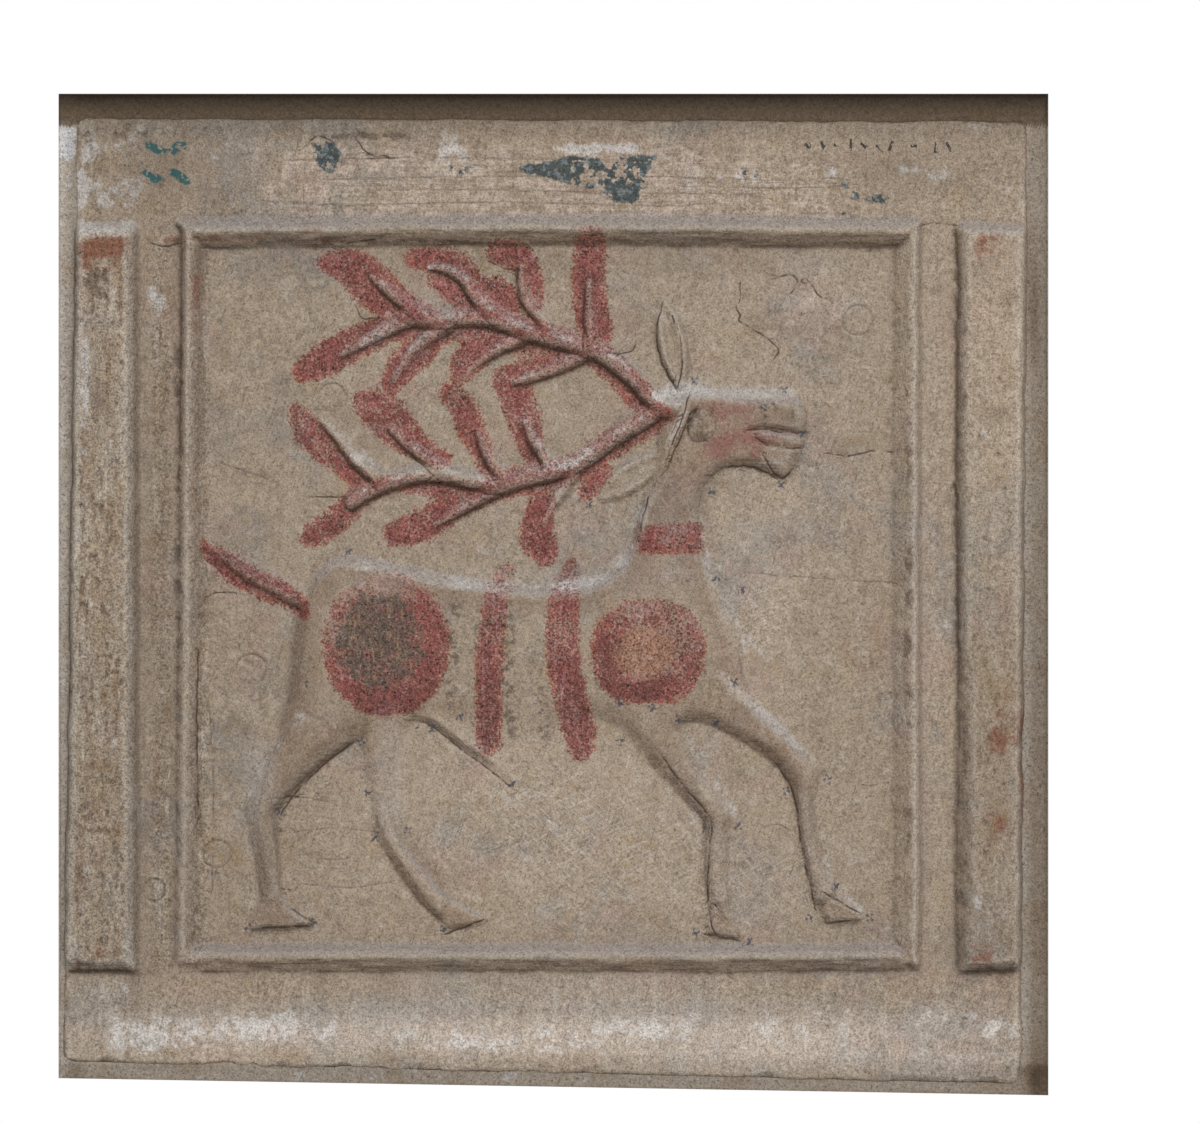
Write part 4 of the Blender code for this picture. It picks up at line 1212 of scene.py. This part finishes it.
def makeGritGroup():
    # fine speckle of fired clay and mortar: a shade to multiply with, dark and pale dots, a grainy height
    inputs = {"Place": None, "Contrast": 1.5, "Dots": 0.5}
    nodes, given, result = newGroup("grit", inputs, ("Shade", "Pale", "Dark", "Height"))
    grain = nodes.noise(given["Place"], 1150.0, 1.0, 0.75)
    clump = nodes.noise(given["Place"], 480.0, 1.0, 0.6)
    speckle = nodes.calc("SUBTRACT", nodes.scaled(clump, 0.5, grain), 0.75)
    nodes.feed(result["Shade"], nodes.scaled(speckle, given["Contrast"], 1.0))
    dots = nodes.noise(given["Place"], 950.0, 0.0)
    low = nodes.scaled(given["Dots"], -0.12, 0.78)
    nodes.feed(result["Dark"], nodes.between(dots, low, nodes.calc("ADD", low, 0.05)))
    high = nodes.scaled(given["Dots"], 0.10, 0.17)
    nodes.feed(result["Pale"], nodes.between(dots, high, nodes.calc("SUBTRACT", high, 0.04)))
    nodes.feed(result["Height"], nodes.scaled(clump, 1.2, grain))
    return nodes.tree


def makeStrawGroup():
    # short straight marks left by burnt chaff and the brush, turned by an angle
    nodes, given, result = newGroup("strawMarks", {"Place": None, "Turn": 0.0, "Amount": 0.5}, ("Mask",))
    sockets = {"Vector": given["Place"], "Angle": given["Turn"]}
    turned = nodes.add("ShaderNodeVectorRotate", sockets, rotation_type="Y_AXIS").outputs[0]
    fibre = nodes.noise(nodes.stretched(turned, (95.0, 1300.0, 1900.0)), 1.0, 1.0, 0.4)
    low = nodes.scaled(given["Amount"], -0.1, 0.72)
    nodes.feed(result["Mask"], nodes.between(fibre, low, nodes.calc("ADD", low, 0.06)))
    return nodes.tree


def makePatchyGroup():
    # a stain that breaks up along a noise where its amount, from 0 to 1, is low
    nodes, given, result = newGroup("patchy", {"Amount": 0.0, "Noise": 0.5, "Soft": 0.4}, ("Mask",))
    total = nodes.calc("ADD", given["Amount"], nodes.between(given["Noise"], 0.32, 0.68))
    nodes.feed(result["Mask"], nodes.between(total, 1.0, nodes.calc("ADD", given["Soft"], 1.0)))
    return nodes.tree


def makeBrushGroup():
    # a worn, dry-brushed area of paint from its depth in squares
    inputs = {"Depth": 0.0, "Place": None, "Ragged": 6.0, "Cover": 0.8}
    nodes, given, result = newGroup("brushed", inputs, ("Mask", "Edge"))
    wander = nodes.calc("SUBTRACT", nodes.noise(given["Place"], 260.0, 3.0, 0.85), 0.5)
    depth = nodes.scaled(wander, nodes.both(given["Ragged"], 2.0), given["Depth"])
    grains = nodes.noise(given["Place"], 850.0, 1.0, 0.7)
    grainy = nodes.scaled(nodes.calc("SUBTRACT", grains, 0.5), 10.0, depth)
    edge = nodes.between(grainy, -2.5, 2.0)
    worn = nodes.scaled(nodes.noise(given["Place"], 90.0, 2.0, 0.6), 0.45, grains)
    limit = nodes.scaled(given["Cover"], -0.5, nodes.between(depth, 7.0, 0.0, 0.98, 1.04))
    cover = nodes.between(worn, limit, nodes.calc("ADD", limit, 0.2), 0.30, 1.0)
    nodes.feed(result["Mask"], nodes.both(edge, cover))
    nodes.feed(result["Edge"], nodes.between(depth, 7.0, 0.0))
    return nodes.tree


class Coat(Nodes):
    # what the layers of one material share: its nodes, colours and noises

    def __init__(self, name, look, groups):
        self.material = bpy.data.materials.new(name)
        self.material.use_nodes = True
        super().__init__(self.material.node_tree)
        self.look = look
        self.groups = groups
        self.place = self.add("ShaderNodeTexCoord").outputs["Object"]
        self.noises = {
            scale: self.noise(self.place, scale, detail, 0.68) for scale, detail in look["octaves"].items()
        }

    def use(self, name, **sockets):
        return self.add("ShaderNodeGroup", sockets, node_tree=self.groups[name]).outputs

    def patchy(self, amount, size, soft):
        return self.use("patchy", Amount=amount, Noise=self.noises[size], Soft=soft)["Mask"]

    def streaks(self, sizes, detail, roughness):
        return self.noise(self.stretched(self.place, sizes), 1.0, detail, roughness)

    def mixed(self, share, low, high):
        return self.blend(share, self.look[low], self.look[high])

    def layers(self, below, found, within=None):
        # colours laid over one another: where each shows, its name and its strength
        for share, colour, strength in found:
            if within is not None:
                share = self.both(within, share)
            below = self.blend(self.both(share, strength), below, self.look[colour])
        return below

    def finish(self, colour, grain):
        shader = self.tree.nodes["Principled BSDF"]
        self.feed(shader.inputs["Base Color"], colour)
        shader.inputs["Roughness"].default_value = self.look["roughness"]
        shader.inputs["Specular IOR Level"].default_value = self.look["specular"]
        strength, distance = self.look["bump"]
        bump = self.add("ShaderNodeBump", {"Height": grain, "Strength": strength, "Distance": distance})
        self.feed(shader.inputs["Normal"], bump.outputs[0])
        return self.material


def tint(red, green, blue):
    # a linear colour from the 0 to 255 values of a paint card
    return tuple(((value / 255 + 0.055) / 1.055) ** 2.4 for value in (red, green, blue))


clayLook = {
    "tan": tint(166, 148, 129),
    "grey": tint(150, 139, 128),
    "cream": tint(186, 169, 148),
    # painted shade under the branches
    "deep": tint(90, 54, 44),
    "pinkish": tint(167, 142, 127),
    "ochre": tint(158, 134, 102),
    "pale": tint(192, 181, 167),
    # whitish bloom, also used for painted highlights and sheen
    "bloomAndHighlight": tint(196, 190, 185),
    # painted light and shade on the slopes: lilac for what faces up, browns for what faces right and what
    # faces down
    "lilac": tint(152, 144, 141),
    "sideShade": tint(122, 107, 95),
    "undersideShade": tint(104, 82, 64),
    "limb": tint(122, 93, 73),
    "rust": tint(132, 84, 64),
    "blush": tint(140, 92, 84),
    "shade": tint(92, 78, 66),
    # dark for cracks, pits and dots, and for painted shade in hollows and undercuts
    "crevice": tint(62, 45, 34),
    "plaster": tint(185, 167, 153),
    "green": tint(66, 76, 76),
    "paleGreen": tint(112, 120, 122),
    "verdigris": tint(112, 116, 98),
    "red": tint(137, 74, 70),
    "oldRed": tint(106, 58, 54),
    "thinRed": tint(160, 100, 70),
    # rubbed paint, and painted highlight on the lit side of painted forms
    "wornAndLitRed": tint(158, 120, 122),
    "soot": tint(92, 84, 76),
    "teal": tint(30, 80, 82),
    "pen": tint(46, 42, 44),
    "pencil": tint(62, 68, 80),
    "roughness": 0.92,
    "specular": 0.25,
    "baseTone": 0.845,
    # painted shadow that the setting casts on the top of the face
    "topShade": 0.30,  # how much darker the face is close under the setting
    # the noises' scales with their detail
    "octaves": {14.0: 4.0, 26.0: 4.0, 45.0: 3.0, 60.0: 4.0, 110.0: 3.0, 190.0: 2.0, 300.0: 2.0, 600.0: 1.0},
    "bump": (0.7, 0.0006),  # strength, and distance in metres
}


def bareClay(coat):
    # clay of several tones, with stains that follow the plaque's own worn areas
    clay = coat.mixed(coat.patchy(0.50, 14.0, 0.6), "tan", "grey")
    return coat.layers(clay, [
        (coat.patchy(0.42, 26.0, 0.6), "pinkish", 0.8),
        (coat.patchy(0.36, 45.0, 0.6), "ochre", 0.5),
        (coat.patchy(0.42, 60.0, 0.7), "shade", 0.30),
        (coat.patchy(0.34, 190.0, 0.5), "shade", 0.28),
        (coat.patchy(0.36, 110.0, 0.6), "pale", 0.45),
        (coat.patchy("ochre", 60.0, 0.8), "ochre", 0.6),
        (coat.patchy("cream", 110.0, 1.0), "cream", 0.7),
    ])


def coarseClay(coat, clay):
    # the coarse body of the clay: worm-like pits, paler crests, brown and ochre blotches
    shorter = coat.stretched(coat.place, (1.0, 1.0, 0.6))
    worm = coat.calc("ABSOLUTE", coat.calc("SUBTRACT", coat.noise(shorter, 330.0, 1.0, 0.6, 1.6), 0.5))
    streak = coat.streaks((170.0, 1.0, 24.0), 4.0, 0.65)
    return coat.layers(clay, [
        (coat.patchy(0.50, 110.0, 0.5), "ochre", 0.55),
        (coat.patchy(0.42, 60.0, 0.4), "limb", 0.36),
        (coat.between("hollow", 0.02, 0.24), "shade", 0.45),
        (coat.between(streak, 0.53, 0.66), "pale", 0.72),
        (coat.between(streak, 0.47, 0.34), "limb", 0.52),
        (coat.between(worm, 0.03, 0.005), "crevice", 0.24),
        (coat.between(worm, 0.10, 0.20), "pale", 0.27),
        (coat.between("hollow", -0.04, -0.22), "pale", 0.45),
    ], "coarse")


def combedPlaster(coat, clay):
    # the plastered patch on the top rail, combed along
    coat.fields["combed"] = coat.streaks((35.0, 1.0, 620.0), 3.0, 0.65)
    return coat.layers(clay, [
        (coat.patchy(0.75, 110.0, 0.6), "plaster", 0.7),
        (coat.between("combed", 0.53, 0.68), "limb", 0.34),
        (coat.between("combed", 0.47, 0.34), "pale", 0.40),
    ], coat.between("comb", -1.5, 2.5))


def limbShadeRustAndBlush(coat, clay):
    # rust, the browner limbs with painted shade that eases where they face up and right, painted brown shade
    # inside the forms, and the faint red on the head
    return coat.layers(clay, [
        (coat.patchy("rust", 110.0, 1.0), "rust", 0.85),
        # browner limbs: own colour and painted shade away from the light
        (coat.both("limbs", coat.between("lean", 0.45, 0.05)), "limb", 0.40),
        (coat.between("dusk", -6.0, 3.0), "shade", 0.30),
        (coat.patchy("blush", 110.0, 1.1), "blush", 0.75),
    ])


def redPaint(coat, clay):
    # antlers, tail, discs and bands in a worn, uneven red
    cover = coat.scaled("faded", -0.35, 0.93)
    brushed = coat.use("brushed", Depth="red", Place=coat.place, Ragged=7.0, Cover=cover)
    coat.fields["painted"] = brushed["Mask"]
    coat.fields["bristle"] = coat.streaks((620.0, 1.0, 60.0), 2.0, 0.7)
    bands = coat.between("bands", -2.0, 3.0)
    worn = coat.scaled("faded", 0.5, 0.30)
    red = coat.layers(coat.mixed(coat.patchy(0.5, 60.0, 0.6), "red", "oldRed"), [
        (brushed["Edge"], "thinRed", 0.30),
        (coat.patchy(0.40, 190.0, 0.5), "oldRed", 0.45),
        (coat.patchy(worn, 110.0, 0.5), "wornAndLitRed", 0.5),
        (coat.between("faded", -0.05, -0.5), "oldRed", 0.6),
        # painted highlight on paint that faces up and to the right
        (coat.between("lean", 0.25, 0.8), "wornAndLitRed", 0.55),
        (coat.both(bands, coat.between("bristle", 0.52, 0.62)), "oldRed", 0.55),
        (coat.both(bands, coat.between("bristle", 0.47, 0.37)), "wornAndLitRed", 0.45),
    ])
    hole = coat.between("chestHole", -8.0, 8.0, 1.0, 0.45)
    clay = coat.blend(coat.both("painted", coat.both(hole, 0.92)), clay, red)
    # painted shade in dark red along the downward side of each branch's foot
    foot = coat.between("foot", -4.0, 2.5)
    return coat.layers(clay, [
        (coat.between("chestHole", -8.0, 6.0), "thinRed", 0.36),
        (coat.both(foot, coat.between("lean", 0.2, -0.1)), "deep", 0.55),
    ])


def sootAndSmudges(coat, clay):
    # the blackened middle of the rump disc and the smudges over the ribs
    sooty = coat.between("soot", -11.0, 14.0, 0.0, 1.3)
    clay = coat.layers(clay, [(coat.patchy(sooty, 190.0, 0.9), "soot", 0.76)])
    clay = coat.layers(clay, [
        (coat.between("bristle", 0.54, 0.66), "ochre", 0.35),
        (coat.patchy(0.40, 300.0, 0.4), "ochre", 0.35),
        (coat.between("bristle", 0.44, 0.34), "shade", 0.2),
        (coat.patchy(0.45, 600.0, 0.4), "shade", 0.55),
    ], coat.between(sooty, 0.3, 1.0))
    ribs = coat.both(coat.between("ribs", -4.0, 3.0), coat.patchy(0.70, 300.0, 0.7))
    return coat.layers(clay, [(ribs, "shade", 0.70)])


def greenFlakes(coat, clay):
    # scales of green paint on the top rail, with a faint stain round them
    wander = coat.calc("SUBTRACT", coat.noises[300.0], 0.5)
    flake = coat.between(coat.scaled(wander, 12.0, "flake"), -1.6, 1.2)
    whole = coat.patchy(coat.calc("ADD", "solid", 0.55), 190.0, 0.15)
    clay = coat.layers(clay, [(coat.patchy("verdigris", 300.0, 0.9), "verdigris", 0.6)])
    green = coat.mixed(coat.patchy(0.42, 300.0, 0.35), "green", "paleGreen")
    return coat.blend(coat.both(coat.both(flake, whole), 0.95), clay, green)


def bloomGrimeAndPaintedLight(coat, clay):
    # painted sky light in lilac on what faces up, mixed with grey bloom; painted shade in browns on what
    # faces right, down and left, and in hollows on the side away from the light, with some grime there;
    # bloom stains, painted sheen, and rubbed ridges with painted highlight; paler crests
    coat.fields["unpainted"] = coat.between("red", 1.0, -3.0)
    bare = coat.scaled("unpainted", 0.65, 0.35)
    sideShade = coat.both(coat.between("right", 0.2, 0.7), coat.between("up", 0.5, 0.1))
    sheen = coat.both(coat.between("sheen", -4.0, 2.0), coat.between("up", 0.0, 0.35))
    rub = coat.between("rub", -3.5, 3.0)
    return coat.layers(clay, [
        # painted sky light: lilac on slopes that face up, with grey bloom
        (coat.both(coat.between("up", 0.15, 0.6), bare), "lilac", 0.60),
        # painted shade on slopes that face right, less on the limbs
        (coat.both(sideShade, coat.between("limbs", 1.0, 0.2, 0.2, 1.0)), "sideShade", 0.40),
        # painted shade on slopes that face down and to the left
        (coat.between("lean", -0.12, -0.7), "undersideShade", 0.48),
        (coat.patchy("bloomAndHighlight", 110.0, 0.7), "bloomAndHighlight", 0.75),
        # painted sheen on the lit side of the branches
        (coat.both(sheen, coat.patchy(0.72, 60.0, 0.7)), "bloomAndHighlight", 0.62),
        # pale veils: bloom and painted light
        ("veil", "bloomAndHighlight", 1.0),
        # rubbed ridges with a painted highlight
        (coat.both(rub, coat.patchy(0.85, 60.0, 0.9)), "bloomAndHighlight", 0.62),
        # dark stains, some of them painted shade on shaded slopes
        (coat.patchy("shade", 110.0, 0.6), "shade", 0.7),
        # painted shade, with some grime, in hollows on the side away from the light
        (coat.both(coat.between("hollow", 0.06, 0.45), coat.between("lean", 0.15, -0.4)), "crevice", 0.5),
        (coat.between("hollow", -0.12, -0.6), "pale", 0.25),
        # painted shade on the downward sides of the combed ridges
        (coat.both(coat.between("up", -0.15, -0.5), coat.between("combed", 0.50, 0.62)), "crevice", 0.45),
    ])


def strawAndGrit(coat, clay):
    # straw marks, grit and dots, then the broad tone, which also holds painted shadow close under the
    # setting and painted light along the lower rail; also gives the grain for the bump
    scratched = coat.both("scratched", "unpainted")
    for turn, amount, colour, where in (
        (0.45, 1.3, "bloomAndHighlight", scratched), (-0.8, 1.2, "bloomAndHighlight", scratched), (1.25, 0.8, "shade", "unpainted"),
    ):
        marks = coat.use("strawMarks", Place=coat.place, Turn=turn, Amount=amount)["Mask"]
        clay = coat.layers(clay, [(coat.both(marks, where), colour, 0.34)])
    contrast = coat.scaled("painted", 1.7, coat.scaled("coarse", 0.8, 1.25))
    grit = coat.use("grit", Place=coat.place, Contrast=contrast, Dots=0.6)
    clay = coat.blend(1.0, clay, grit["Shade"], "MULTIPLY")
    clay = coat.layers(clay, [(grit["Dark"], "crevice", 0.36), (grit["Pale"], "bloomAndHighlight", 0.34)])
    return coat.blend(1.0, clay, "tone", "MULTIPLY"), grit["Height"]


def markWay(coat, name):
    # how far off a mark's middle a place is, along and across, and 1 where a mark is near
    way = coat.add("ShaderNodeAttribute", attribute_name=name).outputs["Vector"]
    along, across, far = coat.add("ShaderNodeSeparateXYZ", {0: way}).outputs
    return coat.calc("ABSOLUTE", along), coat.calc("ABSOLUTE", across), coat.between(far, 6.0, 1.0)


def linesAndMarks(coat, clay):
    # cracks, pencil crosses, pen ticks and dabs of the brush; the crack lines take in painted shade along
    # undercut sides and the branches' feet
    line = coat.both(coat.between(coat.calc("ABSOLUTE", "crackSide"), 1.3, 0.35), "crackNear")
    du, dv, here = markWay(coat, "cross")
    arms = [coat.both(coat.between(a, 2.0, 0.8), coat.between(b, 6.0, 3.5)) for a, b in ((du, dv), (dv, du))]
    cross = coat.both(coat.calc("MAXIMUM", *arms), here)
    du, dv, here = markWay(coat, "tick")
    tick = coat.both(coat.both(coat.between(du, 1.2, 0.9), coat.between(dv, 1.9, 1.0)), here)
    return coat.layers(clay, [
        (coat.both(line, coat.patchy(1.0, 110.0, 0.7)), "crevice", 0.85),
        (coat.both(cross, coat.patchy(0.8, 600.0, 0.4)), "pencil", 0.85),
        (coat.both(tick, coat.patchy(1.0, 300.0, 0.3)), "pen", 0.9),
        (coat.both(coat.between("teal", -0.5, 1.1), coat.patchy(0.9, 300.0, 0.3)), "teal", 0.88),
    ])


def clayMaterial(groups):
    coat = Coat("paintedTerracotta", clayLook, groups)
    # how far a slope faces the key light, up and to the right; it steers painted light and shade
    coat.fields["lean"] = coat.scaled("up", 0.90, coat.both("right", 0.38))
    clay = bareClay(coat)
    for stage in (
        coarseClay, combedPlaster, limbShadeRustAndBlush, redPaint, sootAndSmudges, greenFlakes, bloomGrimeAndPaintedLight,
    ):
        clay = stage(coat, clay)
    clay, grain = strawAndGrit(coat, clay)
    return coat.finish(linesAndMarks(coat, clay), grain)


# the plaster setting

tray = {
    "perSide": 260,
    "coveSteps": 14,
    "gap": (0.15, 0.45),  # squares between the clay and the seat, left and above, then right and below
    "under": 0.9,  # squares that the plaster runs in under the clay's rolled edge
    "lip": 1.3,
    "marginDepth": 3.2,  # millimetres below the rails' ground
    "flush": 2.2,  # how far the margin rises on the left and below
    "swell": 0.6,  # and elsewhere
    "arris": 0.3,  # the lip's rounded outer edge
    "wallTop": 4.0,  # where the plain outer wall starts below the lip
}
trayLow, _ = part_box("setting_tray")
lipLevel = -trayLow.y / millimetre


def ringPlaces(corners, out, raggedEdge):
    # one ring round the slab, out squares beyond the corners given
    count = tray["perSide"]
    run = np.arange(count) / count
    none, full = np.zeros(count), np.ones(count)
    s = np.concatenate([run, full, 1 - run, none])
    t = np.concatenate([none, run, full, 1 - run])
    u, v = slabPlan(s, t, corners)[:2] if raggedEdge else onQuad(corners, s, t)
    near, far = out
    onSide, onEnd = (np.abs(share - 0.5) > 0.4999 for share in (s, t))
    u = u + np.where(s > 0.5, far, -near) * onSide
    v = v + np.where(t > 0.5, near, -far) * onEnd
    return u, v


def trayRings(slabCorners, trayCorners):
    # from the seat under the clay over the margin, the cove and the lip to the back
    seatU, seatV = ringPlaces(slabCorners, tray["gap"], True)
    flush = np.maximum(tray["flush"] * ease(-seatU, 100, 122), tray["flush"] * ease(-seatV, 95, 115))
    margin = groundLevel - tray["marginDepth"] + np.maximum(flush, tray["swell"] * ease(800 - seatV, 0, 30))
    outerU, outerV = ringPlaces(trayCorners, (-tray["lip"], -tray["lip"]), False)
    underU, underV = ringPlaces(slabCorners, (-tray["under"], -tray["under"]), True)
    rings = [(seatU, seatV, seatU * 0 + footLevel - tray["arris"]), (underU, underV, margin)]
    for k in range(1, tray["coveSteps"] + 1):
        angle = math.pi / 2 * k / tray["coveSteps"]
        share = math.sin(angle)
        u, v = underU + (outerU - underU) * share, underV + (outerV - underV) * share
        level = margin + (lipLevel - margin) * (1 - math.cos(angle))
        uneven = 0.35 * math.sin(angle * 2) * (hills(u, v, 26, 81) + 0.5 * hills(u, v, 8, 82))
        rings.append((u, v, level + uneven))
    edgeU, edgeV = ringPlaces(trayCorners, (0, 0), False)
    rings.append((outerU, outerV, outerU * 0 + lipLevel))
    for level in (lipLevel - tray["arris"], lipLevel - tray["wallTop"], 0):
        rings.append((edgeU, edgeV, edgeU * 0 + level))
    return rings


def makeTray(rings):
    bm = bmesh.new()
    number = bm.verts.layers.int.new("number")
    bmesh.ops.create_circle(bm, segments=4 * tray["perSide"], radius=1)
    bm.verts.ensure_lookup_table()
    for k, vert in enumerate(bm.verts):
        vert[number] = k
    edges = list(bm.edges)
    placeRing(bm.verts, number, rings[0])
    bmesh.ops.contextual_create(bm, geom=edges)
    for ring in rings[1:]:
        verts, edges = growWalls(bm, edges)
        placeRing(verts, number, ring)
    closeFlat(bm, edges)
    return newObject("settingPlaster", bm)


def placeRing(verts, number, ring):
    x, z = toPlace(ring[0], ring[1])
    for vert in verts:
        k = vert[number]
        vert.co = (x[k], -ring[2][k] * millimetre, z[k])


mortarLook = {
    "base": tint(156, 145, 133),
    # brown where the tone darkens: painted shade, with dirt in the top
    "brown": tint(146, 118, 88),
    "stain": tint(146, 131, 114),
    "pale": tint(176, 174, 173),
    "dirt": tint(70, 58, 48),
    "roughness": 0.9,
    "specular": 0.25,
    "octaves": {40.0: 4.0, 120.0: 4.0},
    "bump": (0.35, 0.0004),  # strength, and distance in metres
    "wallTone": 0.86,
    # smears of lime: middle, half sizes and strength
    "limed": [
        (-134, 811, 9, 22, 1.0), (-134, 769, 9, 9, 0.9), (-137, 400, 9, 400, 0.15), (300, -125, 420, 8, 0.3),
    ],
    # darker or lighter spots: middle, half sizes and strength
    "spots": [((833, -124), (24, 26), -0.22), ((835, 640), (6, 50), -0.25), ((826, 700), (5, 90), -0.2)],
}


def dressTray(plaster):
    # painted light and shade of the cove, with dirt too in the top: much darker in the top, darker on the
    # right, lighter and smeared with lime on the left, with painted shadow beside the clay's left edge;
    # darker along the bottom and in a few spots, one in a corner
    u, v = toSquares(*getPlaces(plaster.data)[:, [0, 2]].T)
    # painted shade: darker on the right wall, much darker in the top
    tone = np.ones(u.shape) - (0.24 + 0.10 * ease(500 - v, 0, 400)) * ease(u, 822, 836)
    tone = np.where(v > 824, 0.36 - 0.24 * ease(v, 828, 858), tone)
    below = ease(824 - v, 0, 12)
    tone += ease(-u, 130, 142) * below * (0.21 - 0.08 * ease(400 - v, 0, 300))
    # painted shadow beside the clay's left edge; darker along the bottom
    tone -= 0.25 * blob(u, v, (-124, 350), (8, 900)) * below + 0.20 * ease(-v, 112, 118)
    for place, size, strength in mortarLook["spots"]:
        tone += strength * blob(u, v, place, size)
    # the last two rings, round the outer walls, are plain
    wall = np.arange(len(u)) // (4 * tray["perSide"]) > tray["coveSteps"] + 3
    setField(plaster.data, "tone", np.where(wall, mortarLook["wallTone"], tone))
    setField(plaster.data, "smear", np.where(wall, 0, areas(u, v, mortarLook["limed"])))


def mortarMaterial(groups):
    coat = Coat("limePlaster", mortarLook, groups)
    grit = coat.use("grit", Place=coat.place, Contrast=1.4, Dots=0.7)
    plaster = coat.mixed(coat.patchy(0.5, 40.0, 0.7), "base", "stain")
    plaster = coat.layers(plaster, [
        (coat.patchy("smear", 120.0, 0.4), "pale", 1.0),
        # lighter and browner with the tone, which is painted light and shade
        (coat.between("tone", 1.05, 1.4, 0.0, 0.75), "pale", 1.0),
        (coat.between("tone", 1.0, 0.2, 0.0, 0.75), "brown", 1.0),
    ])
    for shade in ("tone", grit["Shade"]):
        plaster = coat.blend(1.0, plaster, shade, "MULTIPLY")
    plaster = coat.layers(plaster, [(grit["Dark"], "dirt", 0.6)])
    return coat.finish(plaster, grit["Height"])


# floor, lights and camera

studio = {
    "distance": 2.0,  # camera to the rails' ground
    "pictureWidth": 0.56728,  # metres of the rails' ground across the picture
    "aim": (0.0251, 0.0166),  # x and z of the picture's middle
    "sensor": 36,  # millimetres
    "farthest": 20,  # metres that the camera sees
    "floorMiddle": (0, -0.2, -1.0),
    "floorHalf": 1.6,
    "floorColour": (0.8, 0.79, 0.77, 1),
    "floorRoughness": 0.8,
    "key": {"from": (0.40, -1.95, 1.20), "size": 1.3, "power": 37.0},
    "ambient": 0.50,
    "ambientColour": (0.95, 0.98, 1.0),
}


def makeFloor():
    bm = bmesh.new()
    bmesh.ops.create_grid(bm, x_segments=1, y_segments=1, size=studio["floorHalf"])
    bmesh.ops.translate(bm, verts=bm.verts, vec=studio["floorMiddle"])
    floor = newObject("floor", bm)
    pale = bpy.data.materials.new("paleFloor")
    pale.use_nodes = True
    shader = pale.node_tree.nodes["Principled BSDF"]
    shader.inputs["Base Color"].default_value = studio["floorColour"]
    shader.inputs["Roughness"].default_value = studio["floorRoughness"]
    floor.data.materials.append(pale)


def aimAt(thing, target):
    direction = np.array(target) - np.array(thing.location)
    thing.rotation_euler = (
        math.acos(-direction[2] / np.linalg.norm(direction)), 0,
        math.atan2(direction[1], direction[0]) - math.pi / 2,
    )


def makeLights():
    key = studio["key"]
    light = bpy.data.lights.new("softKey", "AREA")
    light.shape = "DISK"
    light.size = key["size"]
    light.energy = key["power"]
    lamp = bpy.data.objects.new("softKey", light)
    lamp.location = key["from"]
    aimAt(lamp, (0, 0, 0))
    bpy.context.scene.collection.objects.link(lamp)

    world = bpy.data.worlds.new("paleRoom")
    bpy.context.scene.world = world
    world.use_nodes = True
    nodes = Nodes(world.node_tree)
    nodes.tree.nodes.clear()
    rays = nodes.add("ShaderNodeLightPath").outputs["Is Camera Ray"]
    ambient = {"Color": studio["ambientColour"], "Strength": studio["ambient"]}
    lit = nodes.add("ShaderNodeBackground", ambient).outputs[0]
    seen = nodes.add("ShaderNodeBackground", {"Color": (1.0, 1.0, 1.0), "Strength": 1.0}).outputs[0]
    mixed = nodes.add("ShaderNodeMixShader", {0: rays, 1: lit, 2: seen}).outputs[0]
    nodes.add("ShaderNodeOutputWorld", {0: mixed})
    bpy.context.scene.view_settings.view_transform = "Standard"


def makeCamera():
    lens = bpy.data.cameras.new("frontCamera")
    lens.sensor_width = studio["sensor"]
    lens.lens = studio["sensor"] * studio["distance"] / studio["pictureWidth"]
    lens.clip_end = studio["farthest"]
    camera = bpy.data.objects.new("frontCamera", lens)
    x, z = studio["aim"]
    camera.location = (x, -groundLevel * millimetre - studio["distance"], z)
    camera.rotation_euler = (math.pi / 2, 0, 0)
    bpy.context.scene.collection.objects.link(camera)
    bpy.context.scene.camera = camera


def main():
    groups = {
        "grit": makeGritGroup(),
        "strawMarks": makeStrawGroup(),
        "patchy": makePatchyGroup(),
        "brushed": makeBrushGroup(),
    }
    # the solid's corners are cut a little tighter than the face's
    slabCorners = meetCorners("relief_plaque", slab["cornerRound"] * 0.95)
    trayCorners = meetCorners("setting_tray", 0)

    face = makeFace(slabCorners)
    closeBack(face)
    dressFace(face)
    face.data.materials.clear()
    face.data.materials.append(clayMaterial(groups))
    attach(face, "root")
    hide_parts("relief_plaque")

    plaster = makeTray(trayRings(slabCorners, trayCorners))
    dressTray(plaster)
    plaster.data.materials.append(mortarMaterial(groups))
    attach(plaster, "root")
    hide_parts("setting_tray")
    print("setting made:", len(plaster.data.polygons), "faces")

    makeFloor()
    makeLights()
    makeCamera()


main()
